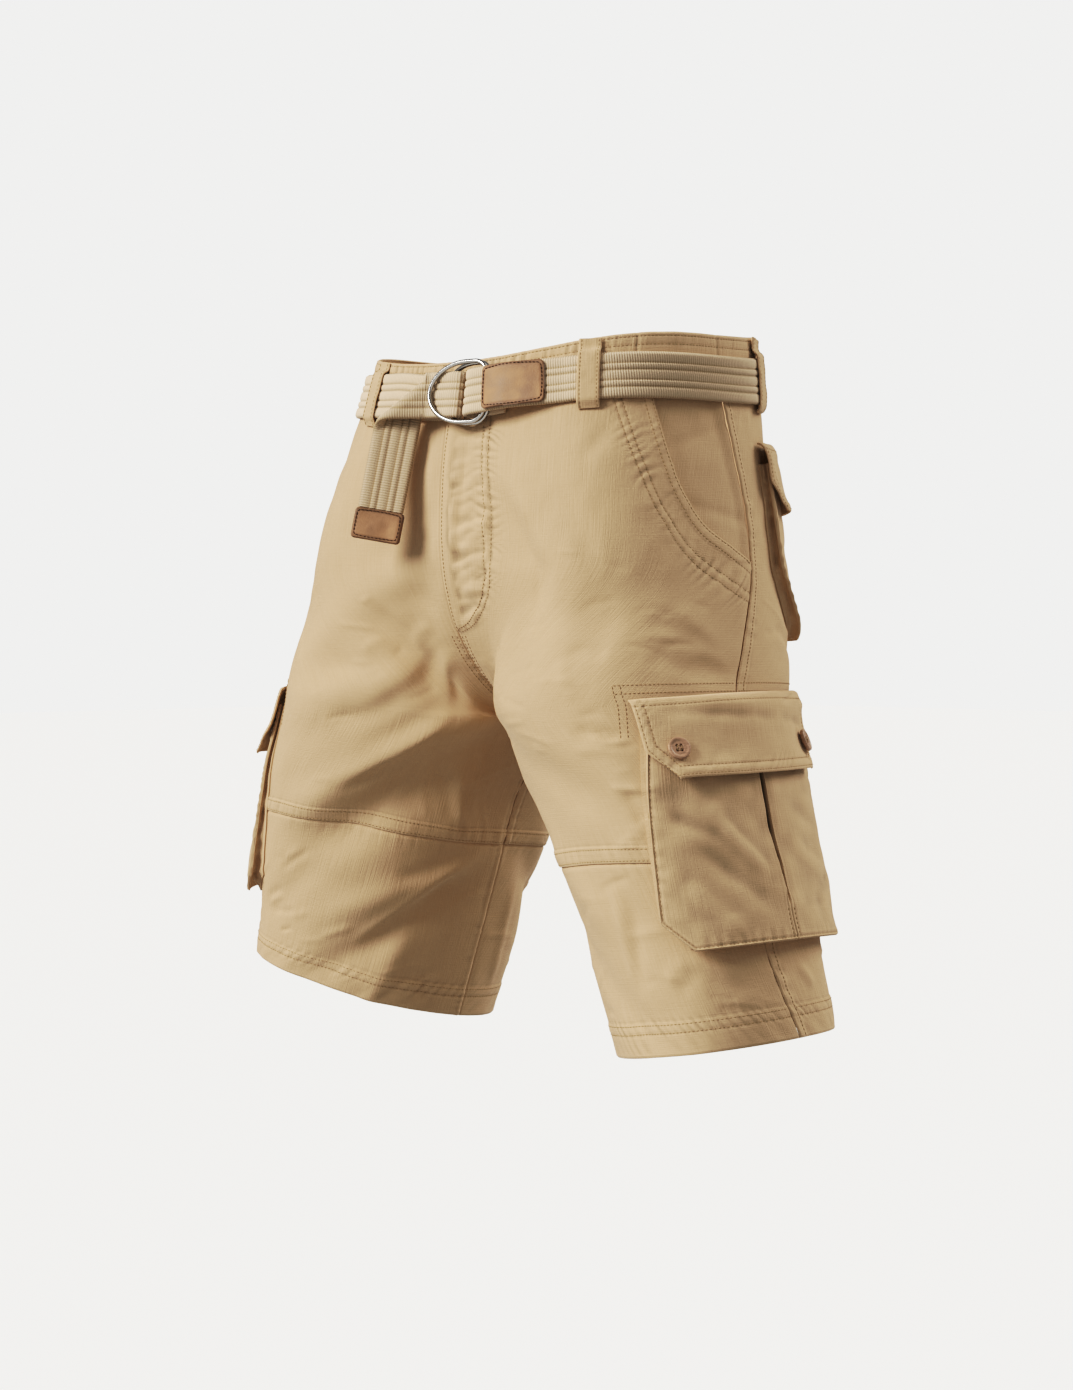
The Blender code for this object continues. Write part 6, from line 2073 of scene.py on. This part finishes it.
def loop_path(side, around):
    """A belt loop's centres: sewn down on the waistband, over the belt and down to the cloth."""
    over = BELT_LIE + BELT_CLOTH + RIB_HEIGHT + LOOP_LIE + LOOP_CLOTH / 2
    on_band = BAND_PROUD + LOOP_LIE + LOOP_CLOTH / 2
    top = float(belt_top(around))
    bottom = top + BELT_WIDTH
    path = ((0.0015, on_band), (top - 0.0055, on_band), (top - 0.0015, over - 0.0005), (top + 0.003, over),
            (top + BELT_WIDTH / 2, over + 0.0004), (bottom - 0.003, over), (bottom + 0.002, over - 0.0008),
            (bottom + 0.005, 0.0030), (LOOP_LENGTH, LOOP_LIE + LOOP_CLOTH / 2))
    fine, reach = resample([on_form(side, around, drop, out) for drop, out in path], 0.0009)
    at = np.linspace(0, reach[-1], LOOP_STEPS)
    return read_line(at, reach, fine), at


def make_loop(name, side, around):
    """A belt loop with two rows of stitches, sewn down at both ends."""
    fine, at = loop_path(side, around)
    width = unit(form(side, around + 0.01, BAND_DEPTH) - form(side, around - 0.01, BAND_DEPTH))
    widths, normals = frames(fine, np.tile(width, (len(fine), 1)))
    if normals[30] @ outward(side, around, BELT_WIDTH) < 0:
        normals = -normals
    y = knots((-LOOP_WIDTH / 2, LOOP_WIDTH / 2, 24))
    edge = LOOP_WIDTH / 2 - np.abs(y)
    rise = LOOP_CLOTH / 2 + rolled_edge("loop", edge) + sewn(edge, LOOP_ROW)
    rise = rise + bead(edge, 0.0011, 0.0012, 0.0002) + 0.0004 * ripple(231, at[:, None], y, 0.006)
    plain = fine[:, None, :] + y[None, :, None] * widths[:, None, :]
    points = plain + rise[..., None] * normals[:, None, :]
    uv = cloth_uv("loop", y, at[:, None])
    obj = shell(f"cloth_belt_loop_{name}", points, normals[:, None, :], LOOP_CLOTH * 0.8, uv)
    as_cloth(obj, plain, f"belt_loop_{name}", held="stretched", on=("waistband_left",))
    for sign in (-1, 1):
        column = int(np.argmin(np.abs(y - sign * (LOOP_WIDTH / 2 - LOOP_ROW))))
        sew(points[:, column], normals)


make_belt()
make_tail()
make_stitches("sewing_leather", MATERIALS["dark_thread"])
make_ring("d_ring_front", FRONT_ARC_X, FRONT_BAR, FRONT_ARC)
make_ring("d_ring_rear", REAR_ARC_X, REAR_BAR, REAR_ARC)
for loop_name, loop_side, loop_around in LOOPS:
    make_loop(loop_name, loop_side, loop_around)
make_stitches("sewing_loops", MATERIALS["thread"])


# ---------------------------------------------------------------- floor, light and camera
IMAGE_WIDTH, IMAGE_HEIGHT = 1073, 1390
AZIMUTH = math.radians(45)
DISTANCE = 2.20
CAMERA_HEIGHT = -0.22
FOCAL_PIXELS = 2816
CENTRE_X, CENTRE_Y = 568, 631
SENSOR = 36.0
FLOOR_LEVEL = -1.30
FLOOR_SIZE = 60.0
PALE = (0.80, 0.80, 0.79)
GLOW = 0.185


def make_floor():
    half = FLOOR_SIZE / 2
    corners = [(x, y, FLOOR_LEVEL) for x, y in ((-half, -half), (half, -half), (half, half), (-half, half))]
    made, shader = principled("pale_floor", PALE, 0.9, specular=0.1)
    shader.inputs["Emission Color"].default_value = (*PALE, 1.0)
    shader.inputs["Emission Strength"].default_value = GLOW / PALE[0]
    floor = new_object("floor", corners, [(0, 1, 2, 3)], made)
    floor.visible_diffuse = False


# Each light: how far it is turned to the left of the camera, how high it is, both in degrees, its
# energy, how wide it looks and its colour.
SUNS = (("key", 64, 29, 3.25, 26, (1.0, 1.0, 1.0)), ("fill", -112, 38, 2.15, 36, (1.0, 0.97, 0.92)))
AMBIENT, AMBIENT_COLOUR = 0.36, (1.0, 0.98, 0.95, 1.0)
BACKDROP, BACKDROP_COLOUR = 1.17, (1.0, 1.0, 0.985, 1.0)
# The tone curve: light in the scene, up to the white level, and how bright it is shown.
TONE_WHITE = 1.25
TONE = ((0.0, 0.0), (0.08, 0.036), (0.2, 0.145), (0.4, 0.385), (0.6, 0.56), (0.8, 0.69), (1.0, 0.80),
        (1.25, 0.90))


def make_suns():
    to_camera = Vector((math.sin(AZIMUTH), -math.cos(AZIMUTH), 0))
    left = Vector((-math.cos(AZIMUTH), -math.sin(AZIMUTH), 0))
    for name, turn, rise, energy, width, colour in SUNS:
        turn, rise = math.radians(turn), math.radians(rise)
        sun = bpy.data.lights.new(name, "SUN")
        sun.energy = energy
        sun.angle = math.radians(width)
        sun.color = colour
        lamp = bpy.data.objects.new(name, sun)
        bpy.context.scene.collection.objects.link(lamp)
        level = math.cos(turn) * to_camera + math.sin(turn) * left
        source = math.cos(rise) * level + Vector((0, 0, math.sin(rise)))
        lamp.rotation_euler = source.to_track_quat("Z", "Y").to_euler()


def make_world():
    """Soft light from all round, and a brighter backdrop where the camera sees past the object."""
    world = bpy.data.worlds.new("studio")
    bpy.context.scene.world = world
    world.use_nodes = True
    tree = world.node_tree
    tree.nodes.clear()
    output = tree.nodes.new("ShaderNodeOutputWorld")
    rays = tree.nodes.new("ShaderNodeLightPath")
    mix = tree.nodes.new("ShaderNodeMixShader")
    tree.links.new(rays.outputs["Is Camera Ray"], mix.inputs["Fac"])
    for slot, strength, colour in ((1, AMBIENT, AMBIENT_COLOUR), (2, BACKDROP, BACKDROP_COLOUR)):
        shader = tree.nodes.new("ShaderNodeBackground")
        shader.inputs["Color"].default_value = colour
        shader.inputs["Strength"].default_value = strength
        tree.links.new(shader.outputs["Background"], mix.inputs[slot])
    tree.links.new(mix.outputs["Shader"], output.inputs["Surface"])


def set_tone():
    """The contrast of a studio photograph: deep shadows and soft highlights."""
    view = bpy.context.scene.view_settings
    view.view_transform = "Standard"
    view.use_curve_mapping = True
    view.curve_mapping.white_level = (TONE_WHITE, TONE_WHITE, TONE_WHITE)
    points = view.curve_mapping.curves[3].points
    points[0].location = TONE[0]
    points[1].location = (1.0, TONE[-1][1])
    for level, shown in TONE[1:-1]:
        points.new(level / TONE_WHITE, shown)
    view.curve_mapping.update()


def make_camera():
    camera = bpy.data.cameras.new("camera")
    camera.sensor_width = SENSOR
    camera.lens = FOCAL_PIXELS * SENSOR / IMAGE_HEIGHT
    camera.shift_x = (IMAGE_WIDTH / 2 - CENTRE_X) / IMAGE_HEIGHT
    camera.shift_y = (CENTRE_Y - IMAGE_HEIGHT / 2) / IMAGE_HEIGHT
    obj = bpy.data.objects.new("camera", camera)
    bpy.context.scene.collection.objects.link(obj)
    obj.location = (DISTANCE * math.sin(AZIMUTH), -DISTANCE * math.cos(AZIMUTH), CAMERA_HEIGHT)
    obj.rotation_euler = (math.radians(90), 0, AZIMUTH)
    bpy.context.scene.camera = obj


make_floor()
make_suns()
make_world()
make_camera()
set_tone()
